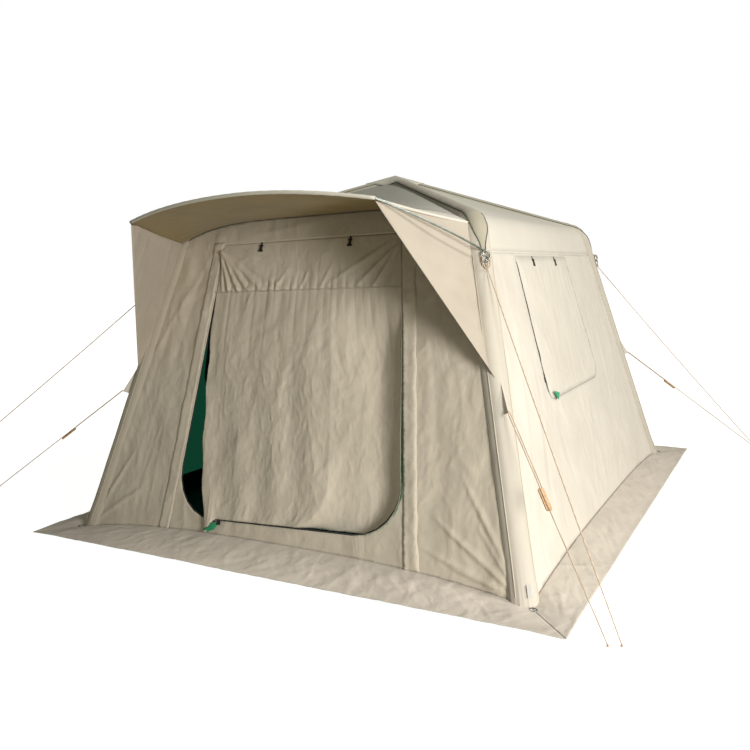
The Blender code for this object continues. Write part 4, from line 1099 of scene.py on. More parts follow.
def opening(upper_left, left, right, upper_right, radius):
    """Outline of an opening that is square above and rounded below."""
    lower = round_corner(upper_left, left, right, radius) + round_corner(left, right, upper_right, radius)
    return [Vector(upper_left)] + lower + [Vector(upper_right)]


def door_outline():
    top = up_wall("front", DOOR_TOP)
    left = (DOOR_LOW_LEFT, up_wall("front", DOOR_SILL_LEFT))
    right = (DOOR_LOW_RIGHT, up_wall("front", DOOR_SILL_RIGHT))
    return opening((DOOR_TOP_LEFT, top), left, right, (DOOR_TOP_RIGHT, top), DOOR_CORNER)


def window_outline(hand):
    top = up_wall("right", WINDOW_TOP)
    sill = up_wall("right", WINDOW_SILL)
    outline = opening((hand * WINDOW_FRONT, top), (hand * WINDOW_FRONT, sill),
                      (hand * WINDOW_BACK_LOW, sill), (hand * WINDOW_BACK_TOP, top), WINDOW_CORNER)
    return outline if hand > 0 else outline[::-1]


# Wrinkles

def waves(x, y, counts, hand=1):
    """Smooth noise from -1 to 1, with counts of waves and a seed, which differs by hand if given."""
    along, up, seed = counts
    return noise.noise(Vector((x * along, y * up, hand * seed)))


def wrinkle(point, start, end, width, depth):
    """Depth of one fold line at a point: a rounded ridge that fades towards its ends."""
    start = Vector(start)
    side = Vector(end) - start
    along = (point - start).dot(side) / side.length_squared
    if not 0.0 < along < 1.0:
        return 0.0
    off = (point - start - side * along).length / (width * (0.5 + sin(pi * along) / 2))
    return depth * sin(pi * along) ** FOLD_END_POWER * exp(-off * off)


def ridge(x, up, seed):
    """Crumple line: high along thin wandering creases and low between them."""
    bend = RIDGE_BEND * waves(x, up, (RIDGE_BENDS, RIDGE_BENDS, seed + RIDGE_SEED))
    return (1 - abs(waves(x + bend, up + bend, (1, 1, seed))) * RIDGE_SHARPNESS) ** RIDGE_POWER


def crumple(point, seed, across, up, depth):
    """Soft irregular unevenness, stretched by a count of waves per metre each way."""
    return depth * waves(point.x, point.y, (across, up, seed))


def crease(point, seed, across, up, depth):
    """Sharper crumple lines, counted like the soft ones."""
    return depth * ridge(point.x * across, point.y * up, seed)


def uneven(point, crumples, creases=(), folds=()):
    """Depth of cloth at a point from its tables of soft crumples, creases and fold lines."""
    return (sum(crumple(point, *row) for row in crumples) + sum(crease(point, *row) for row in creases)
            + sum(wrinkle(point, *row) for row in folds))


# Ropes, on the routes of the CAD

def smooth_route(points, steps):
    """Points of a smooth curve through a route."""
    route = [points[0] * 2 - points[1]] + points + [points[-1] * 2 - points[-2]]
    result = []
    for index in range(len(points) - 1):
        before, start, end, after = route[index:index + 4]
        count = steps // (len(points) - 1)
        for step in range(count):
            t = step / count
            result.append(((start * 2) + (end - before) * t
                           + (before * 2 - start * 5 + end * 4 - after) * t ** 2
                           + (start * 3 - before - end * 3 + after) * t ** 3) / 2)
    return result + [points[-1]]


def sagging(start, end, sag):
    """Route between two points that sags in the middle."""
    middle = (start + end) / 2 - Vector((0, 0, sag))
    quarter = mix(start, end, 0.25) - Vector((0, 0, sag * 0.75))
    late = mix(start, end, 0.75) - Vector((0, 0, sag * 0.75))
    return [start, quarter, middle, late, end]


def route_length(points):
    return sum((after - before).length for before, after in zip(points, points[1:]))


def knot(name, radius, place):
    """Lumpy little knot."""
    bm = bmesh.new()
    bmesh.ops.create_icosphere(bm, subdivisions=3, radius=radius)
    for vert in bm.verts:
        swell = KNOT_LUMP_SHARE * noise.noise(vert.co * 2 / radius)
        vert.co = vert.co * (1 + swell) + Vector(place)
    return mesh_object(name, bm, [MAT["rope"]])


def rope(name, points, ends):
    """Rope along a route, with its knots, on the tent."""
    item = tube_object(name, points, LINE_RADIUS, MAT["rope"])
    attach(item, "tent")
    for end in ends:
        on_body(end, "tent", "rope")
    return item


def declare_rope(points):
    tuple(points[0])
    route_length(points)


def ring_centre(corner):
    """Centre of a shoulder ring."""
    up, outward, _ = leg_axes(corner)
    out = SLEEVE_RADIUS + FABRIC + SEAT + RING_WIRE
    return leg_point(corner, HOOK_HEIGHT) + outward * out - up * RING_DROP


def make_top_line(corner):
    """Guy line from a shoulder ring to the ground."""
    up, _, _ = leg_axes(corner)
    hitch = ring_centre(corner) - up * (RING_RADIUS + RING_WIRE + SEAT + HITCH_RADIUS)
    peg = Vector((*TOP_PEGS[corner], KNOT_RADIUS))
    points = smooth_route(sagging(hitch, peg, LINE_SAG), LINE_STEPS)
    ends = [knot("top_hitch_" + corner, HITCH_RADIUS, hitch), knot("top_knot_" + corner, KNOT_RADIUS, peg)]
    item = rope("top_rope_" + corner, points, ends)
    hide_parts("guy_line_top_" + corner)
    declare_rope(points)


def make_mid_line(corner):
    """Guy line from the patch on a leg through its runner to the ground, and the strand back."""
    up, outward, _ = leg_axes(corner)
    tip = leg_point(corner, GUSSET_LOW) + outward * (SLEEVE_RADIUS + GUSSET_REACH)
    hitch = tip + outward * (HITCH_RADIUS + SEAT) + up * HITCH_LIFT
    peg = Vector((*MID_PEGS[corner], KNOT_RADIUS))
    along = (peg - hitch).normalized()
    half = along.cross(outward).normalized() * STRAND_SPREAD / 2
    lead = along * STRAND_SPREAD
    free_end = hitch - half + along * (RUNNER_REACH + RUNNER_HOLE)
    start = hitch + half + lead
    going = [hitch] + smooth_route([start, mix(start, peg, 0.5), peg], LINE_STEPS // 2)
    ends = [knot("mid_hitch_" + corner, HITCH_RADIUS, hitch), knot("mid_knot_" + corner, KNOT_RADIUS, peg)]
    item = rope("mid_rope_" + corner, going, ends)
    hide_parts("guy_line_mid_" + corner)
    declare_rope(going)
    back_start = hitch - half + lead
    back = [hitch, back_start, mix(back_start, free_end, 0.5), free_end]
    item = rope("mid_return_" + corner, back, [])
    declare_rope(back)


def make_ropes():
    for corner in TOP_PEGS:
        make_top_line(corner)
        make_mid_line(corner)


def make_hitch_loops():
    """Long loop of rope through each shoulder ring and the steel hook that holds it."""
    for corner in CORNERS:
        up, outward, side = leg_axes(corner)
        ring = ring_centre(corner)
        centre = ring + outward * LOOP_OUT - up * LOOP_DROP
        points = []
        for step in range(LOOP_STEPS + 1):
            angle = 2 * pi * step / LOOP_STEPS
            swing = side * cos(angle) * LOOP_HALF_WIDTH + up * sin(angle) * LOOP_HALF_HEIGHT
            points.append(centre + swing + outward * LOOP_TWIST * sin(2 * angle))
        on_body(tube_object("hitch_loop_" + corner, points, LOOP_RADIUS, MAT["rope"]), "tent", "rope")
        centre = ring + outward * HOOK_OUT + up * HOOK_SIZE / 2
        hook = []
        for step in range(LOOP_STEPS + 1):
            angle = HOOK_SWEEP * step / LOOP_STEPS
            reach = HOOK_SIZE * (1 + HOOK_BULGE_SHARE * sin(angle))
            hook.append(centre + side * cos(angle) * reach + up * sin(angle) * HOOK_SIZE * HOOK_RISE_SHARE)
        on_body(tube_object("steel_hook_" + corner, hook, LOOP_RADIUS, MAT["steel"]), "tent", "steel")


# Sleeves and their sewn pieces

def dense_path(corner):
    """Close stations along a beam, from the foot to the crown."""
    stations = beam_path(corner, -SLEEVE_RADIUS / 2, SLEEVE_START)
    dense = []
    for (start, first), (end, second) in zip(stations, stations[1:]):
        count = max(1, int((end - start).length / STATION_STEP))
        for step in range(count):
            share = step / count
            dense.append((mix(start, end, share), mix(first, second, share).normalized()))
    return dense + [stations[-1]]


def sleeve_point(corner, place, direction, angle, lift=0.0):
    """Point on a sleeve: puckered at the shoulder and the foot, a little slack up the leg."""
    seed = SLEEVE_SEED * (list(CORNERS).index(corner) + 1)
    _, _, x = leg_axes(corner)
    y = direction.cross(x).normalized()
    near = exp(-((place - knee_point(corner)).length / PUCKER_REACH) ** 2)
    low = exp(-(place.z / FOOT_PUCKER_HEIGHT) ** 2)
    pucker = near * PUCKER_DEPTH * (1 + sin(place.z * PUCKER_WAVES + 2 * sin(2 * angle + seed)))
    folds = low * FOOT_PUCKER * abs(sin(FOOT_PUCKERS * angle / 2 + seed))
    loose = SLEEVE_SLACK * (1 + noise.noise(Vector((cos(angle), sin(angle) + seed, place.z * SLACK_WAVES))))
    around = x * cos(angle) + y * sin(angle)
    return place + around * (SLEEVE_RADIUS - SLEEVE_TUCK + pucker + loose + folds + lift)


def make_sleeve(corner):
    """Fabric sleeve round a whole beam, cut level at the ground."""
    def cut_point(place, direction, angle):
        point = sleeve_point(corner, place, direction, angle)
        if point.z < SLEEVE_FOOT:
            point += direction * (SLEEVE_FOOT - point.z) / direction.z
        return point

    rows = [circle_points(SLEEVE_SIDES, lambda angle: cut_point(place, direction, angle))
            for place, direction in dense_path(corner)]
    # The front left leg's sleeve takes the darker copy: painted shade
    paint = MAT["front_sleeve" if corner == "front_left" else "sleeve"]
    item = loft("sleeve_" + corner, rows, [paint], thickness=SLEEVE_CLOTH)
    on_body(item, "tent", "canvas", "beam_sleeve_" + corner)


def band_spread(place):
    """Half angle of the olive band round a sleeve: wide on the roof, narrow above the ring."""
    return mix(BAND_NARROW, BAND_WIDE, smooth_step((place.z - BAND_LOW) / BAND_TAPER))


def make_band(corner):
    """Olive band over a beam's roof part and shoulder, with a dark piping along both sides."""
    stations = [pair for pair in dense_path(corner) if pair[0].z > BAND_LOW]
    rows = []
    for place, direction in stations:
        spread = band_spread(place)
        angles = [pi / 2 + mix(-spread, spread, step / BAND_STEPS) for step in range(BAND_STEPS + 1)]
        rows.append([sleeve_point(corner, place, direction, angle, BAND_LIFT) for angle in angles])
    item = loft("beam_band_" + corner, rows, [MAT["band"]], thickness=BAND_THICKNESS)
    on_body(item, "tent", "canvas")
    for hand in (-1, 1):
        path = [sleeve_point(corner, place, direction, pi / 2 + hand * band_spread(place), PIPE_RADIUS / 2)
                for place, direction in stations]
        on_body(tube_object("band_piping_" + corner + str(hand), path, PIPE_RADIUS, MAT["piping"]),
                "tent", "canvas")


def small_slab(name, place, outline, thickness, material, body, slot):
    """Flat piece cut to an outline, with slightly rounded edges."""
    bm = bmesh.new()
    low = [bm.verts.new(place @ Vector((x, y, -thickness / 2))) for x, y in outline]
    high = [bm.verts.new(place @ Vector((x, y, thickness / 2))) for x, y in outline]
    bm.faces.new(high)
    bm.faces.new(low[::-1])
    count = len(outline)
    for index in range(count):
        after = (index + 1) % count
        bm.faces.new((low[index], low[after], high[after], high[index]))
    item = mesh_object(name, bm, [material], smooth=False)
    bevel = item.modifiers.new("edge", 'BEVEL')
    bevel.width = thickness / 4
    bevel.segments = 2
    return on_body(item, body, slot)


def leg_frame(corner, height, out):
    """Frame on a leg's outer face: across and up it."""
    up, outward, side = leg_axes(corner)
    return frame_from(leg_point(corner, height) + outward * out, side, up)


def rectangle(width, low, high):
    """Outline of a rectangle, centred across."""
    return [(-width / 2, low), (width / 2, low), (width / 2, high), (-width / 2, high)]


def make_corner(corner):
    """Webbing tabs at the shoulder and foot, and the triangular guy patch."""
    face = SLEEVE_RADIUS + FABRIC / 2
    foot_face = face + FOOT_PUCKER + TAB_STAND
    tabs = (("shoulder_tab_", leg_frame(corner, HOOK_HEIGHT, face), -TAB_FALL, TAB_RISE),
            ("base_tab_", leg_frame(corner, 0, foot_face), BASE_TAB_LOW, BASE_TAB_HIGH))
    for name, place, low, high in tabs:
        small_slab(name + corner, place, rectangle(TAB_WIDTH, low, high), FABRIC, MAT["webbing"],
                   "tent", "canvas")
    up, outward, _ = leg_axes(corner)
    place = frame_from(leg_point(corner, GUSSET_LOW), outward, up)
    inside = SLEEVE_RADIUS * GUSSET_ROOT_SHARE
    tip = SLEEVE_RADIUS + GUSSET_REACH
    outline = [(inside, 0), (tip, 0), (tip, SLEEVE_RADIUS / 6), (inside, (GUSSET_TOP - GUSSET_LOW) / up.z)]
    small_slab("gusset_" + corner, place, outline, FABRIC, MAT["canvas"], "tent", "canvas")


def make_piping():
    """Corded seams down both sides of every leg."""
    for corner in CORNERS:
        stations = [pair for pair in dense_path(corner) if SEAM_FOOT < pair[0].z < BAND_LOW]
        for hand in (-1, 1):
            path = [sleeve_point(corner, place, direction, pi / 2 + hand * SEAM_ANGLE, PIPE_RADIUS / 3)
                    for place, direction in stations]
            item = tube_object("leg_piping_" + corner + str(hand), path, PIPE_RADIUS, MAT["stitch"])
            on_body(item, "tent", "canvas")


def make_eave_tape(side):
    """Flat tape over the seam between a wall and its roof panel."""
    place = wall_frame(side)
    half = wall_half(side, EAVE_HEIGHT) - PANEL_REACH
    rows = []
    for row in (1, 0, -1):
        up = up_wall(side, EAVE_HEIGHT) + row * TAPE_WIDTH / 2
        rows.append([place @ Vector((mix(-half, half, step / FOOT_STEPS), up, CLOTH))
                     for step in range(FOOT_STEPS + 1)])
    item = loft("eave_tape_" + side, rows, [MAT["canvas"]], thickness=SEAM)
    on_body(item, "tent", "canvas")


# Walls

def foot_rise(side, along):
    """Height of a wall's bottom seam, which the beams' feet hold down at both ends."""
    share = min(abs(along) / half_length(side), 1.0)
    return FOOT + FOOT_RISE[side] * (1 - share ** FOOT_POWER)


def wall_outline(side):
    """Outline of a wall: its seam at the foot, and the eave or the arch above."""
    if side == "front":
        local = wall_frame("front").inverted()
        top = [(local @ arch_point(1 - 2 * index / ARCH_STEPS)).to_2d() for index in range(ARCH_STEPS + 1)]
        reach = BEAM_INSET - PANEL_REACH
    else:
        edge = EAVE_HEIGHT - SEAM / 2
        half = wall_half(side, edge) - PANEL_REACH
        top = [Vector((half, up_wall(side, edge))), Vector((-half, up_wall(side, edge)))]
        reach = PANEL_REACH
    half = wall_half(side, FOOT) - reach
    low = []
    for step in range(FOOT_STEPS + 1):
        x = mix(-half, half, step / FOOT_STEPS)
        low.append(Vector((x, up_wall(side, foot_rise(side, x)))))
    return low + top


def front_depth(point, gap):
    return smooth_step(gap / FRONT_FADE) * uneven(point, FRONT_CRUMPLES, FRONT_CREASES, FRONT_FOLDS)


def side_depth(point, gap):
    return smooth_step(gap / WALL_FADE) * uneven(point, SIDE_CRUMPLES, folds=SIDE_FOLDS)


def make_walls():
    # The front wall takes the front canvas, whose darker, warmer tone is painted shade
    front = panel("front_wall", wall_frame("front"), [wall_outline("front"), door_outline()],
                  front_depth, [MAT["front"], MAT["lining"]], back=1, step=FRONT_GRID)
    on_body(front, "tent", "canvas", "wall_front")
    for side, openings in (("right", [window_outline(1)]), ("back", []), ("left", [window_outline(-1)])):
        item = panel(side + "_wall", wall_frame(side), [wall_outline(side)] + openings,
                     side_depth, [MAT["canvas"], MAT["lining"]], back=1, step=WALL_GRID)
        on_body(item, "tent", "canvas", "wall_" + side)


# Storm flaps beside the door

def flap_span(hand, up):
    """Inner and outer edge of a storm flap at a height up the wall."""
    if hand < 0:
        top_x, low_x, sill = DOOR_TOP_LEFT, DOOR_LOW_LEFT, DOOR_SILL_LEFT
    else:
        top_x, low_x, sill = DOOR_TOP_RIGHT, DOOR_LOW_RIGHT, DOOR_SILL_RIGHT
    lean = (low_x - top_x) / (DOOR_TOP - sill)
    height = up * cos(END_LEAN)
    inner = top_x + lean * (DOOR_TOP - height) + hand * FLAP_STEP
    flare = FLAP_FLARE * max(0.0, 1 - height / FLAP_FLARE_TOP) ** 2
    wobble = FLAP_WOBBLE * waves(hand, up, FLAP_EDGE_WAVES)
    return inner, inner + hand * (FLAP_WIDTH + flare + wobble)


def flap_outline(hand):
    """Outline of a storm flap in its wall's plane."""
    rows = [up_wall("front", mix(FLAP_FOOT, FLAP_TOP, step / FLAP_ROWS)) for step in range(FLAP_ROWS + 1)]
    inner, outer = zip(*[[Vector((x, up)) for x in flap_span(hand, up)] for up in rows])
    outline = list(inner[:1] + outer + inner[:0:-1])
    return outline if hand > 0 else outline[::-1]


def flap_relief(hand, point, gap):
    """How far a storm flap stands off its wall: swollen, puckered at its seam, lifted inside."""
    inner, outer = flap_span(hand, point.y)
    across = (point.x - inner) / (outer - inner)
    pucker = waves(across, point.y, FLAP_PUCKER_WAVES, hand)
    broad = waves(across, point.y, FLAP_SWELL_WAVES, hand)
    outside = smooth_step(across * FLAP_OUTSIDE_RISE)
    rough = FLAP_PUCKER * (outside * (FLAP_PUCKER_SHARE + pucker) + FLAP_ROUGH_SHARE + broad)
    free_edge = FLAP_LIFT * (1 - smooth_step(across * FLAP_INSIDE_FADE)) * (1 + broad)
    swell = FLAP_SWELL * smooth_step(gap / FLAP_SWELL_FADE)
    return FABRIC + swell + max(rough, 0) * smooth_step(gap / FLAP_PUCKER_FADE) + free_edge


def make_flap(name, hand):
    """Storm flap sewn on the front wall beside the door."""
    walls = [wall_outline("front"), door_outline()]

    def flap_depth(point, gap):
        wall = front_depth(point, edge_distances(walls, [point])[0])
        return wall + flap_relief(hand, point, gap)

    item = panel("storm_flap_" + name, wall_frame("front"), [flap_outline(hand)], flap_depth,
                 [MAT["front"]], step=FLAP_GRID)
    on_body(item, "tent", "canvas")


# Roof

def panel_rail(corner, side, eave):
    """Seam of a roof panel along one beam, from the eave up."""
    rise = BEAM_INSET * cos(lean_of(side))
    along = Vector((1, 0, 0)) if side in ENDS else Vector((0, 1, 0))
    rail = []
    for point, direction in reversed(beam_path(corner, eave, PANEL_START)):
        outward = along.cross(direction).normalized()
        rail.append(point + outward * (rise if outward.z > 0 else -rise))
    return rail


def even_rail(rail, count):
    """Evenly spaced points along a rail."""
    total = route_length(rail)
    result = []
    for index in range(count + 1):
        left = total * index / count
        for before, after in zip(rail, rail[1:]):
            length = (after - before).length
            if left <= length or after is rail[-1]:
                result.append(mix(before, after, min(left / length, 1.0)))
                break
            left -= length
    return result


def roof_sheet(side, first, second, seed):
    """Panel between two beams: it sags a little between them and ripples near its seams."""
    eave = EAVE_HEIGHT + SEAM / 2 - BEAM_INSET * cos(lean_of(side)) * sin(lean_of(side))
    rails = [even_rail(panel_rail(corner, side, eave), ROOF_ROWS) for corner in (first, second)]
    sheet = []
    for row, (left, right) in enumerate(zip(*rails)):
        inset = (right - left).normalized() * PANEL_REACH
        left = left + inset
        right = right - inset
        line = []
        for column in range(ROOF_COLUMNS + 1):
            share = column / ROOF_COLUMNS
            point = mix(left, right, share)
            hang = sin(pi * share) * sin(pi * row / ROOF_ROWS)
            ripple = waves(point.x, point.y, (ROOF_WAVES, ROOF_WAVES, seed))
            line.append(point + Vector((0, 0, (ROOF_RIPPLE * ripple - ROOF_SAG) * hang)))
        sheet.append(line)
    return sheet


def make_roofs():
    spans = (("right", "front_right", "back_right"), ("back", "back_right", "back_left"),
             ("left", "back_left", "front_left"))
    for seed, (side, first, second) in enumerate(spans):
        rows = roof_sheet(side, first, second, seed + 0.5)
        item = loft("roof_sheet_" + side, rows, [MAT["roof"], MAT["under"]], back=1)
        on_body(item, "tent", "roof_canvas", "roof_" + side)
    make_front_roof()
    make_crown()


def make_front_roof():
    """Front panel, from its upper corner down to the arch of the front wall."""
    start = panel_rail("front_right", "front", EAVE_HEIGHT)[0]

    def point(share, place):
        across = (2 * place - 1) * FRONT_ROOF_SHARE
        top = Vector((across * start.x, start.y, start.z))
        hang = sin(pi * share) * cos(pi * across / 2)
        return mix(top, arch_point(across, SEAM / 2, AWNING_LIFT), share) - Vector((0, 0, ROOF_SAG * hang))

    item = loft("roof_sheet_front", grid_of(FRONT_ROOF_ROWS, FRONT_ROOF_COLUMNS, point),
                [MAT["shade"], MAT["under"]], back=1)
    on_body(item, "tent", "roof_canvas", "roof_front")


def crown_point(half, angle):
    """Point of the cap on a square of that half width: it drapes over four ridges."""
    stretch = half / max(abs(cos(angle)), abs(sin(angle)))
    x = stretch * cos(angle)
    y = stretch * sin(angle)
    reach = max(hypot(x, y), WELD)
    widest = max(abs(x), abs(y))
    sink = (1 - (2 * x * y / reach ** 2) ** 2) * (widest / CROWN_HALF) ** 4 * CROWN_SINK
    return Vector((x, y, APEX_HEIGHT + CROWN_LIFT - widest * sqrt(2) * tan(ROOF_PITCH) - sink))


def make_crown():
    """Cap over the sleeves' crossing."""
    halves = [CROWN_HALF * row / CROWN_ROWS for row in range(CROWN_ROWS + 1)]
    rows = [circle_points(CROWN_SIDES, lambda angle: crown_point(half, angle)) for half in halves]
    item = loft("crown_sheet", rows, [MAT["roof"]])
    on_body(item, "tent", "roof_canvas", "crown_cap")


# Door

def slack(height):
    """How far the undone left edge of the door is drawn to the right at a height."""
    for (high, more), (low, less) in zip(SLACK_X_SHARES, SLACK_X_SHARES[1:]):
        if height >= low:
            return SLACK_WIDTH * mix(less, more, (height - low) / (high - low))
    return SLACK_WIDTH


def corner_inset(rise):
    """How far the door's rounded lower corner cuts in, at a rise above the sill."""
    if rise >= DOOR_CORNER:
        return 0.0
    return DOOR_CORNER - sqrt(max(DOOR_CORNER ** 2 - (DOOR_CORNER - rise) ** 2, 0.0))


def door_edges(share):
    """Left and right edge of the curtain, a share of the way down from the gathers."""
    left_height = mix(GATHER_HEIGHT, DOOR_SILL_LEFT + 3 * DOOR_GAP, share)
    right_height = mix(GATHER_HEIGHT, DOOR_SILL_RIGHT + DOOR_GAP, share)
    left_side = mix(DOOR_LOW_LEFT, DOOR_TOP_LEFT,
                    (left_height - DOOR_SILL_LEFT) / (DOOR_TOP - DOOR_SILL_LEFT))
    right_side = mix(DOOR_LOW_RIGHT, DOOR_TOP_RIGHT,
                     (right_height - DOOR_SILL_RIGHT) / (DOOR_TOP - DOOR_SILL_RIGHT))
    left = left_side + DOOR_GAP + slack(left_height)
    right = right_side - CLOSE_GAP - corner_inset(right_height - DOOR_SILL_RIGHT)
    return (left, left_height), (right, right_height)


def gather(across, count):
    """Uneven narrow pleats: their crests are round and the valleys between them sharp."""
    drift = GATHER_DRIFT * waves(across, 1, GATHER_DRIFT_WAVES)
    depth = GATHER_MEAN_SHARE + waves(across, 1, GATHER_DEPTH_WAVES)
    return max(depth, GATHER_LEAST_SHARE) * abs(sin(pi * count * (across + drift))) ** GATHER_POWER


def seam_fold(across):
    """Depth of the pleats where the door is gathered."""
    return SEAM_DEPTH * gather(across, 2 * GATHERS)


def door_fold(across, down):
    """Depth of the curtain's gathers, which fade downwards, and of its broad folds, which grow."""
    length = LONG_GATHER_SHARE * (1 + waves(across, 1, GATHER_LENGTH_WAVES))
    gathers = GATHER_DEPTH * max(1 - down / length, 0.0) * gather(across, GATHERS)
    gathers += GATHER_DEPTH / 2 * max(1 - down / SHORT_GATHER_SHARE, 0.0) * gather(across, 2 * GATHERS)
    wave = 2 * pi * FOLDS * (across - FOLD_DRIFT_SHARE * down)
    folds = FOLD_DEPTH * sqrt(down) * (1 - cos(wave)) / 2
    return mix(seam_fold(across), gathers + folds, min(1.0, down * GATHER_FADE))


def door_recess(x, right):
    """Broad valley beside the door's right edge, from which the cloth slopes up to its zip."""
    inset = max((right - x) / RECESS_WIDTH, 0.0)
    if inset > 1:
        return 0.0
    return -RECESS_DEPTH * sin(pi * inset ** RECESS_POWER)


def header_row(down):
    """Row of points in the folded header, a share of the way down to the gathers."""
    (seam_left, _), (seam_right, _) = door_edges(0)
    height = up_wall("front", mix(DOOR_TOP - SEAT, GATHER_HEIGHT, down))
    left = mix(DOOR_TOP_LEFT + CLOSE_GAP, seam_left, down)
    right = mix(DOOR_TOP_RIGHT - CLOSE_GAP, seam_right, down)
    line = []
    for column in range(DOOR_COLUMNS + 1):
        across = column / DOOR_COLUMNS
        point = Vector((mix(left, right, across), height))
        pleats = PLEAT_DEPTH * gather(across, 2 * GATHERS) * max(down - PLEAT_START_SHARE, 0.0) ** 2
        rough = uneven(point, DOOR_CRUMPLES, DOOR_CREASES) * HEADER_CRUMPLE_SHARE
        folds = uneven(point, (), folds=HEADER_FOLDS) + rough
        folds *= smooth_step(down * HEADER_CRUMPLE_RISE)
        line.append(Vector((*point, seam_fold(across) * down ** HEADER_SEAM_POWER + pleats + folds)))
    return line


def curtain_row(down):
    """Row of points in the gathered curtain, a share of the way down to its hem."""
    (left, left_height), (right, right_height) = door_edges(down)
    line = []
    for column in range(DOOR_COLUMNS + 1):
        across = column / DOOR_COLUMNS
        height = up_wall("front", mix(left_height, right_height, across))
        x = mix(left, right, across)
        place = Vector((x * FINE_WAVES + down * FINE_DRIFT, FINE_SEED, height * FINE_WAVES_UP))
        fine = noise.noise(place)
        depth = (SCENE_FOLD_SHARE * door_fold(across, down)
                 + FINE_DEPTH * (1 + fine) * min(1.0, down * FINE_RISE))
        depth += door_recess(x, right) * smooth_step(down * RECESS_RISE)
        rough = uneven(Vector((x, height)), DOOR_CRUMPLES, DOOR_CREASES)
        depth += rough * smooth_step(down * CURTAIN_CRUMPLE_RISE)
        depth += (TIP_LIFT * smooth_step((down + TIP_LIFT_SHARE - 1) / TIP_LIFT_SHARE)
                  * (1 - smooth_step(across * TIP_LIFT_FADE)))
        wave = (1 - smooth_step(across * EDGE_WAVE_FADE)) * smooth_step(down * EDGE_WAVE_RISE)
        x += wave * EDGE_WAVE * waves(height, 1, DOOR_EDGE_WAVES)
        tip = 1 - smooth_step(across / TIP_WIDTH)
        tip *= smooth_step((down + TIP_FALL_SHARE - 1) / TIP_FALL_SHARE)
        line.append(Vector((x + TIP_SHIFT * tip, height - TIP_FALL * tip, depth)))
    return line


def make_door():
    """Door in one piece: header, seam and gathered curtain with its undone corner."""
    place = wall_frame("front")
    rows = [header_row(row / HEADER_ROWS) for row in range(HEADER_ROWS)]
    rows += [curtain_row(row / DOOR_ROWS) for row in range(DOOR_ROWS + 1)]
    rows = [[place @ point for point in row] for row in rows]
    item = loft("door_cloth", rows, [MAT["front"], MAT["lining"]], back=1)
    on_body(item, "door", "canvas", "door_panel")


def make_gather_seam():
    """Stitched tape across the door where the curtain is gathered."""
    place = wall_frame("front")
    (left, _), (right, _) = door_edges(0)
    up = up_wall("front", GATHER_HEIGHT)
    points = []
    for step in range(STITCH_STEPS + 1):
        across = step / STITCH_STEPS
        wobble = STITCH_WOBBLE * sin(2 * pi * GATHERS * across)
        depth = seam_fold(across) + CLOTH + 2 * STITCH_RADIUS
        points.append(place @ Vector((mix(left, right, across), up + wobble, depth)))
    on_body(tube_object("gather_seam", points, STITCH_RADIUS, MAT["stitch"]), "door", "canvas")


def make_door_corner():
    """The door's loose corner, folded over so that its green lining and zip end show."""
    place = wall_frame("front")
    outline = [Vector(point) for point in DOOR_FOLDED]

    def corner_depth(point, gap):
        return FOLDED_DEPTH + DOOR_FOLDED_SWELL * smooth_step(gap / DOOR_FOLDED_FADE)

    item = panel("door_corner", place, [outline], corner_depth, [MAT["bright"]], step=FOLDED_GRID)
    on_body(item, "door", "canvas")
    small_slab("door_zip_end", place @ Matrix.Translation((*ZIP_END_PLACE, FOLDED_DEPTH)),
               rectangle(ZIP_END_WIDTH, -ZIP_END_HALF, ZIP_END_HALF), ZIP_END_THICKNESS, MAT["black"],
               "door", "black_plastic")


# Windows

def open_edge(point, hand, top):
    """Point of the window flap's outline, drawn back from its zip in waves where that is undone."""
    near = 1 - smooth_step(abs(point.x - hand * WINDOW_FRONT) / (3 * WINDOW_OPEN))
    wave = max(WINDOW_OPEN + WINDOW_WAVE * waves(point.y, hand, WINDOW_EDGE_WAVES), 0.0)
    return Vector((point.x + hand * wave * near * smooth_step((top - point.y) / WINDOW_CORNER), point.y))


def make_window_corner(side, hand):
    """Green lining that shows where the flap's lower front corner folds over."""
    corner = Vector((hand * (WINDOW_FRONT + WINDOW_FOLDED_IN), up_wall(side, WINDOW_SILL)))
    outline = [corner + Vector((hand * x, y)) for x, y in WINDOW_FOLDED]
    if hand < 0:
        outline = outline[::-1]

    def fold_depth(point, gap):
        return WINDOW_FOLDED_DEPTH + WINDOW_FOLDED_SWELL * smooth_step(gap / WINDOW_FOLDED_FADE)

    item = panel("window_corner_" + side, wall_frame(side), [outline], fold_depth, [MAT["bright"]],
                 step=FOLDED_GRID)
    on_body(item, "window_" + side, "canvas")


def cover_depth(point, gap):
    return smooth_step(gap / COVER_FADE) * (COVER_LIFT + uneven(point, COVER_CRUMPLES))


def make_windows():
    """Window covers on both sides, with their folded corners."""
    for side, hand in (("right", 1), ("left", -1)):
        top = up_wall(side, WINDOW_TOP)
        outline = resample(grow(window_outline(hand), -WINDOW_CLOSE), WINDOW_STEP)
        outline = [Vector((p.x, top - SEAT if p.y > top - 2 * WINDOW_CLOSE else p.y)) for p in outline]
        outline = [open_edge(p, hand, top) for p in outline]
        make_window_corner(side, hand)
        cover = panel("cover_" + side, wall_frame(side), [outline], cover_depth,
                      [MAT["canvas"], MAT["lining"]], back=1)
        on_body(cover, "window_" + side, "canvas", "window_cover_" + side)


# Awning

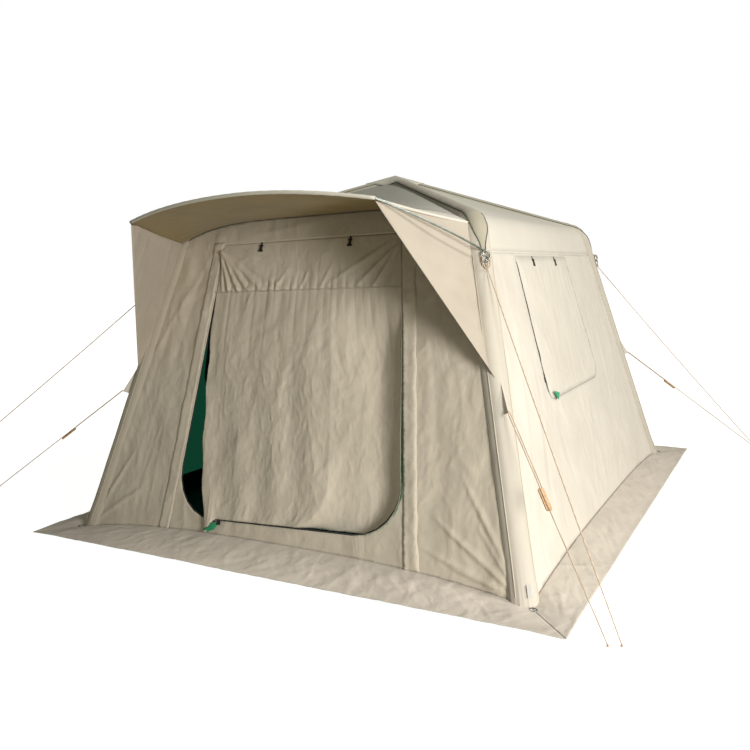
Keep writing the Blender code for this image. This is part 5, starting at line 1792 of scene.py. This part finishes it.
def canopy_rows():
    """Canopy from the arch to the pole, with its side edges turned down over the wings."""
    def point(share, place):
        across = 2 * place - 1
        hang = sin(pi * share) * (1 - CANOPY_CROWN * across ** 2)
        sheet = mix(arch_point(across, -SEAM / 2, AWNING_LIFT), bow_point(across), share)
        return sheet - Vector((0, 0, CANOPY_HANG * hang))

    rows = grid_of(CANOPY_ROWS, CANOPY_COLUMNS, point)
    for row, line in enumerate(rows):
        share = row / CANOPY_ROWS
        calm = max(EDGE_LEAST_SHARE, smooth_step(min(share, 1 - share) / EDGE_CALM))
        rows[row] = turned_edge(line[0], -1, calm)[::-1] + line + turned_edge(line[-1], 1, calm)
    return rows


def turned_edge(point, hand, calm):
    """Two points past the canopy's side edge, where it turns down over the wing."""
    out = Vector((hand * EDGE_OUT * calm, 0, 0))
    return [point + out, point + out + Vector((0, 0, -EDGE_FALL * calm))]


def make_hem():
    """Hem tube of the canopy round the pole."""
    def ring(step):
        share = 2 * step / HEM_STEPS - 1
        here = bow_point(share)
        ahead = bow_point(min(share + AHEAD_SHARE, 1.0)) - bow_point(max(share - AHEAD_SHARE, -1.0))
        x = ahead.cross(Vector((0, 0, 1))).normalized()
        y = x.cross(ahead).normalized()
        swell = HEM_RADIUS - HEM_TUCK + HEM_TUCK * sin(step * HEM_TURN)
        return circle_points(HEM_SIDES, lambda angle: here + (x * cos(angle) + y * sin(angle)) * swell)

    rows = [ring(step) for step in range(HEM_STEPS + 1)]
    return loft("canopy_hem", rows, [MAT["roof"]], thickness=HEM_CLOTH)


def make_canopy():
    """Awning's canopy and hem, which run between the tent and the pole."""
    sheet = loft("canopy_sheet", canopy_rows(), [MAT["roof"], MAT["under"]], back=1)
    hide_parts("awning_canopy")
    hem = make_hem()
    root = arch_point(0, 0, 0)
    end = (0, bow_point(1).y + BLEND_PAST, root.z)
    for item in (sheet, hem):
        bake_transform(item)


def wing_root(hand, share):
    """Edge of a wing on the tent: from the arch's end to the leg, then down it."""
    corner = front_corner(hand)
    knee = arch_point(hand, 0, AWNING_LIFT - 2 * FABRIC)
    low = leg_point(corner, WING_LOW_HEIGHT) + Vector((0, -WING_ROOT, 0))
    top = leg_point(corner, EAVE_HEIGHT) + Vector((0, -WING_ROOT, 0))
    if share < WING_KNEE_SHARE:
        return mix(knee, top, share / WING_KNEE_SHARE)
    return mix(top, low, (share - WING_KNEE_SHARE) / (1 - WING_KNEE_SHARE))


def wing_edge(hand, share):
    """Free edge of a wing, from the pole's tip down to the leg."""
    tip = pole_point(hand * TIP_X, TIP_REACH) + Vector((0, 0, -WING_DROP))
    off_leg = Vector((hand * WING_LOW_SIDE, -WING_LOW_REACH, 0))
    return mix(tip, leg_point(front_corner(hand), WING_LOW_HEIGHT) + off_leg, share)


def below_canopy(hand, across):
    """Point just under the canopy's side edge, and under its hem at the pole."""
    point = mix(arch_point(hand, -SEAM / 2, AWNING_LIFT), bow_point(hand), across)
    hem = (HEM_RADIUS + HEM_TUCK) * smooth_step((across - HEM_START_SHARE) / HEM_FADE_SHARE)
    point.z -= CANOPY_HANG * (1 - CANOPY_CROWN) * sin(pi * across) + WING_CLEARANCE + hem
    return point


def make_wing(name, hand):
    """Triangular side of the awning, pulled into ripples that fade downwards."""
    def point(share, across):
        flat = mix(wing_root(hand, share), wing_edge(hand, share), across)
        wave = sin(WING_RIPPLES * pi * share + WING_DRIFT * across)
        pull = WING_PULL * sin(pi * across) * wave * (1 - share)
        cloth_point = mix(flat, below_canopy(hand, across), (1 - share) ** WING_TOP_POWER)
        return cloth_point + Vector((hand * pull, pull, 0))

    rows = grid_of(WING_ROWS, WING_COLUMNS, point)
    if hand > 0:
        rows = [line[::-1] for line in rows]
    item = loft("wing_" + name, rows, [MAT["wing"]])
    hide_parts("awning_wing_" + name)
    top = wing_root(hand, WING_KNEE_SHARE)
    tip = wing_edge(hand, 0)
    leg = (wing_root(hand, 1.0) - top).normalized()
    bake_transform(item)


# Ground pieces

def clear_of_legs(point):
    """Point moved out of the beam sleeves' feet."""
    for corner in CORNERS:
        leg = leg_point(corner, point.z)
        off = Vector((point.x - leg.x, point.y - leg.y, 0))
        if off.length < LEG_CLEARANCE:
            point = leg + off.normalized() * LEG_CLEARANCE
    return point


def skirt_place(spread, out, reach, counts):
    """Place in the noise for a count of waves along a skirt, their slant, waves outwards and a seed."""
    along, slant, outwards, seed = counts
    return spread * along + out * slant, out * outwards, reach * seed


def skirt_lift(spread, out, reach):
    """Waves, ripples and creases of a skirt at a place along it, a share of the way out."""
    wave = noise.noise(skirt_place(spread, out, reach, SKIRT_WAVES)) + SKIRT_WAVE_MEAN
    ripple = noise.noise(skirt_place(spread, out, reach, SKIRT_RIPPLES)) + SKIRT_RIPPLE_MEAN
    crease_line = ridge(*skirt_place(spread, out, reach, SKIRT_CREASES)) + SKIRT_CREASE_MEAN
    fine_line = ridge(*skirt_place(spread, out, reach, SKIRT_FINE_CREASES)) + SKIRT_CREASE_MEAN
    lift = SKIRT_WAVE * max(wave, 0) + SKIRT_RIPPLE * max(ripple, 0)
    lift += SKIRT_CREASE * crease_line
    lift += SKIRT_CREASE / 2 * fine_line
    return lift * sin(pi * min(out * SKIRT_RIM_START, 1.0) * SKIRT_RIM_SHARE)


def make_skirt(side):
    """Strip of cloth from a wall's bottom seam to the ground, mitred at both corners."""
    place = wall_frame(side)
    half = half_length(side)
    reach = half_reach(side)
    along = place.col[0].to_3d()
    outward = along.cross(Vector((0, 0, 1)))

    def point(out, share_along):
        share = 2 * share_along - 1
        x = share * half
        seam = place @ Vector((x, up_wall(side, foot_rise(side, x)), CLOTH))
        spread = share * (half + SKIRT_WIDTH - SKIRT_SLIT_MOUTH / 2)
        rim = along * spread + outward * (reach + SKIRT_WIDTH) + Vector((0, 0, SKIRT_HEIGHT))
        laid = mix(seam, rim, out)
        calm = smooth_step((1 - abs(share)) * half / SKIRT_CALM)
        laid.z = (SKIRT_HEIGHT + (seam.z - SKIRT_HEIGHT) * (1 - out) ** SKIRT_POWER
                  + calm * skirt_lift(spread, out, reach))
        return clear_of_legs(laid)

    rows = grid_of(SKIRT_ROWS, SKIRT_COLUMNS, point)
    item = loft("skirt_" + side, rows, [MAT["skirt"], MAT["lining"]], back=1)
    on_body(item, "tent", "canvas", *(["ground_skirt"] if side == "front" else []))


def make_slit_lining(corner):
    """Green sliver that shows in the slit between two strips."""
    x_sign, y_sign = CORNERS[corner]
    start = Vector((x_sign * BASE_WIDTH, y_sign * BASE_DEPTH, 0)) / 2
    out = Vector((x_sign, y_sign, 0)).normalized()
    side = Vector((-out.y, out.x, 0))
    rise = Vector((0, 0, SLIT_HEIGHT))
    low = start + out * SKIRT_WIDTH * SLIT_START_SHARE + rise
    high = start + out * (SKIRT_WIDTH * sqrt(2) - 2 * SKIRT_SLIT_MOUTH) + rise
    wide = mix(low, high, SLIT_WIDE_SHARE)
    stations = ((low, SLIT_LOW_HALF), (wide, SLIT_WIDE_HALF), (high, SLIT_HIGH_HALF))
    rows = [[point - side * half, point + side * half] for point, half in stations]
    item = loft("slit_lining_" + corner, rows, [MAT["lining"]], thickness=SLIT_CLOTH)
    on_body(item, "tent", "canvas")


def tray_side(share, base, lean, height):
    """Place across the floor tray: flat in the middle, leaning in where its lip rises."""
    place = max(-1, min(1, share * TRAY_SPREAD)) * (base / 2 - TRAY_INSET)
    if abs(share) * TRAY_SPREAD > 1:
        place -= (share / abs(share)) * height * tan(lean)
    return place


def make_tray():
    """Floor sheet with a raised lip."""
    def point(down, across):
        u = 2 * across - 1
        v = 2 * down - 1
        lip = max(max(abs(u), abs(v)) * TRAY_SPREAD - 1, 0.0)
        height = TRAY_HEIGHT + TRAY_LIP * lip / (TRAY_SPREAD - 1)
        return Vector((tray_side(u, BASE_WIDTH, SIDE_LEAN, height),
                       tray_side(v, BASE_DEPTH, END_LEAN, height), height))

    rows = [row[::-1] for row in grid_of(TRAY_STEPS, TRAY_STEPS, point)]
    item = loft("floor_tray", rows, [MAT["floor"]])
    on_body(item, "tent", "floor", "groundsheet")


# Hardware that keeps its CAD shape

PAINTS = (("air_beam", "air"), ("base_ring", "gunmetal"), ("ring_", "steel"), ("toggle", "black"),
          ("slider", "black"), ("runner", "wood"), ("_zip", "zip"), ("mesh", "mesh"),
          ("awning_pole", "steel"), ("crown_hub", "air"), ("inflation_valve", "black"),
          ("valve_cap", "black"))


def paint_nodes():
    """Paint each node by the first mark in the table that its name holds."""
    for name, node in NODES.items():
        paint = next((paint for mark, paint in PAINTS if mark in name), None)
        if paint:
            for slot in node.material_slots:
                slot.material = MAT[paint]


make_camera()
make_lights()
make_floor()
make_ropes()
for name in CORNERS:
    make_sleeve(name)
    make_corner(name)
    make_band(name)
make_piping()
for name in ("right", "back", "left"):
    make_eave_tape(name)
make_walls()
make_flap("left", -1)
make_flap("right", 1)
make_roofs()
make_door()
make_gather_seam()
make_door_corner()
make_windows()
make_hitch_loops()
make_canopy()
make_wing("right", 1)
make_wing("left", -1)
make_tray()
for name in ("front", "right", "back", "left"):
    make_skirt(name)
for name in CORNERS:
    make_slit_lining(name)
paint_nodes()
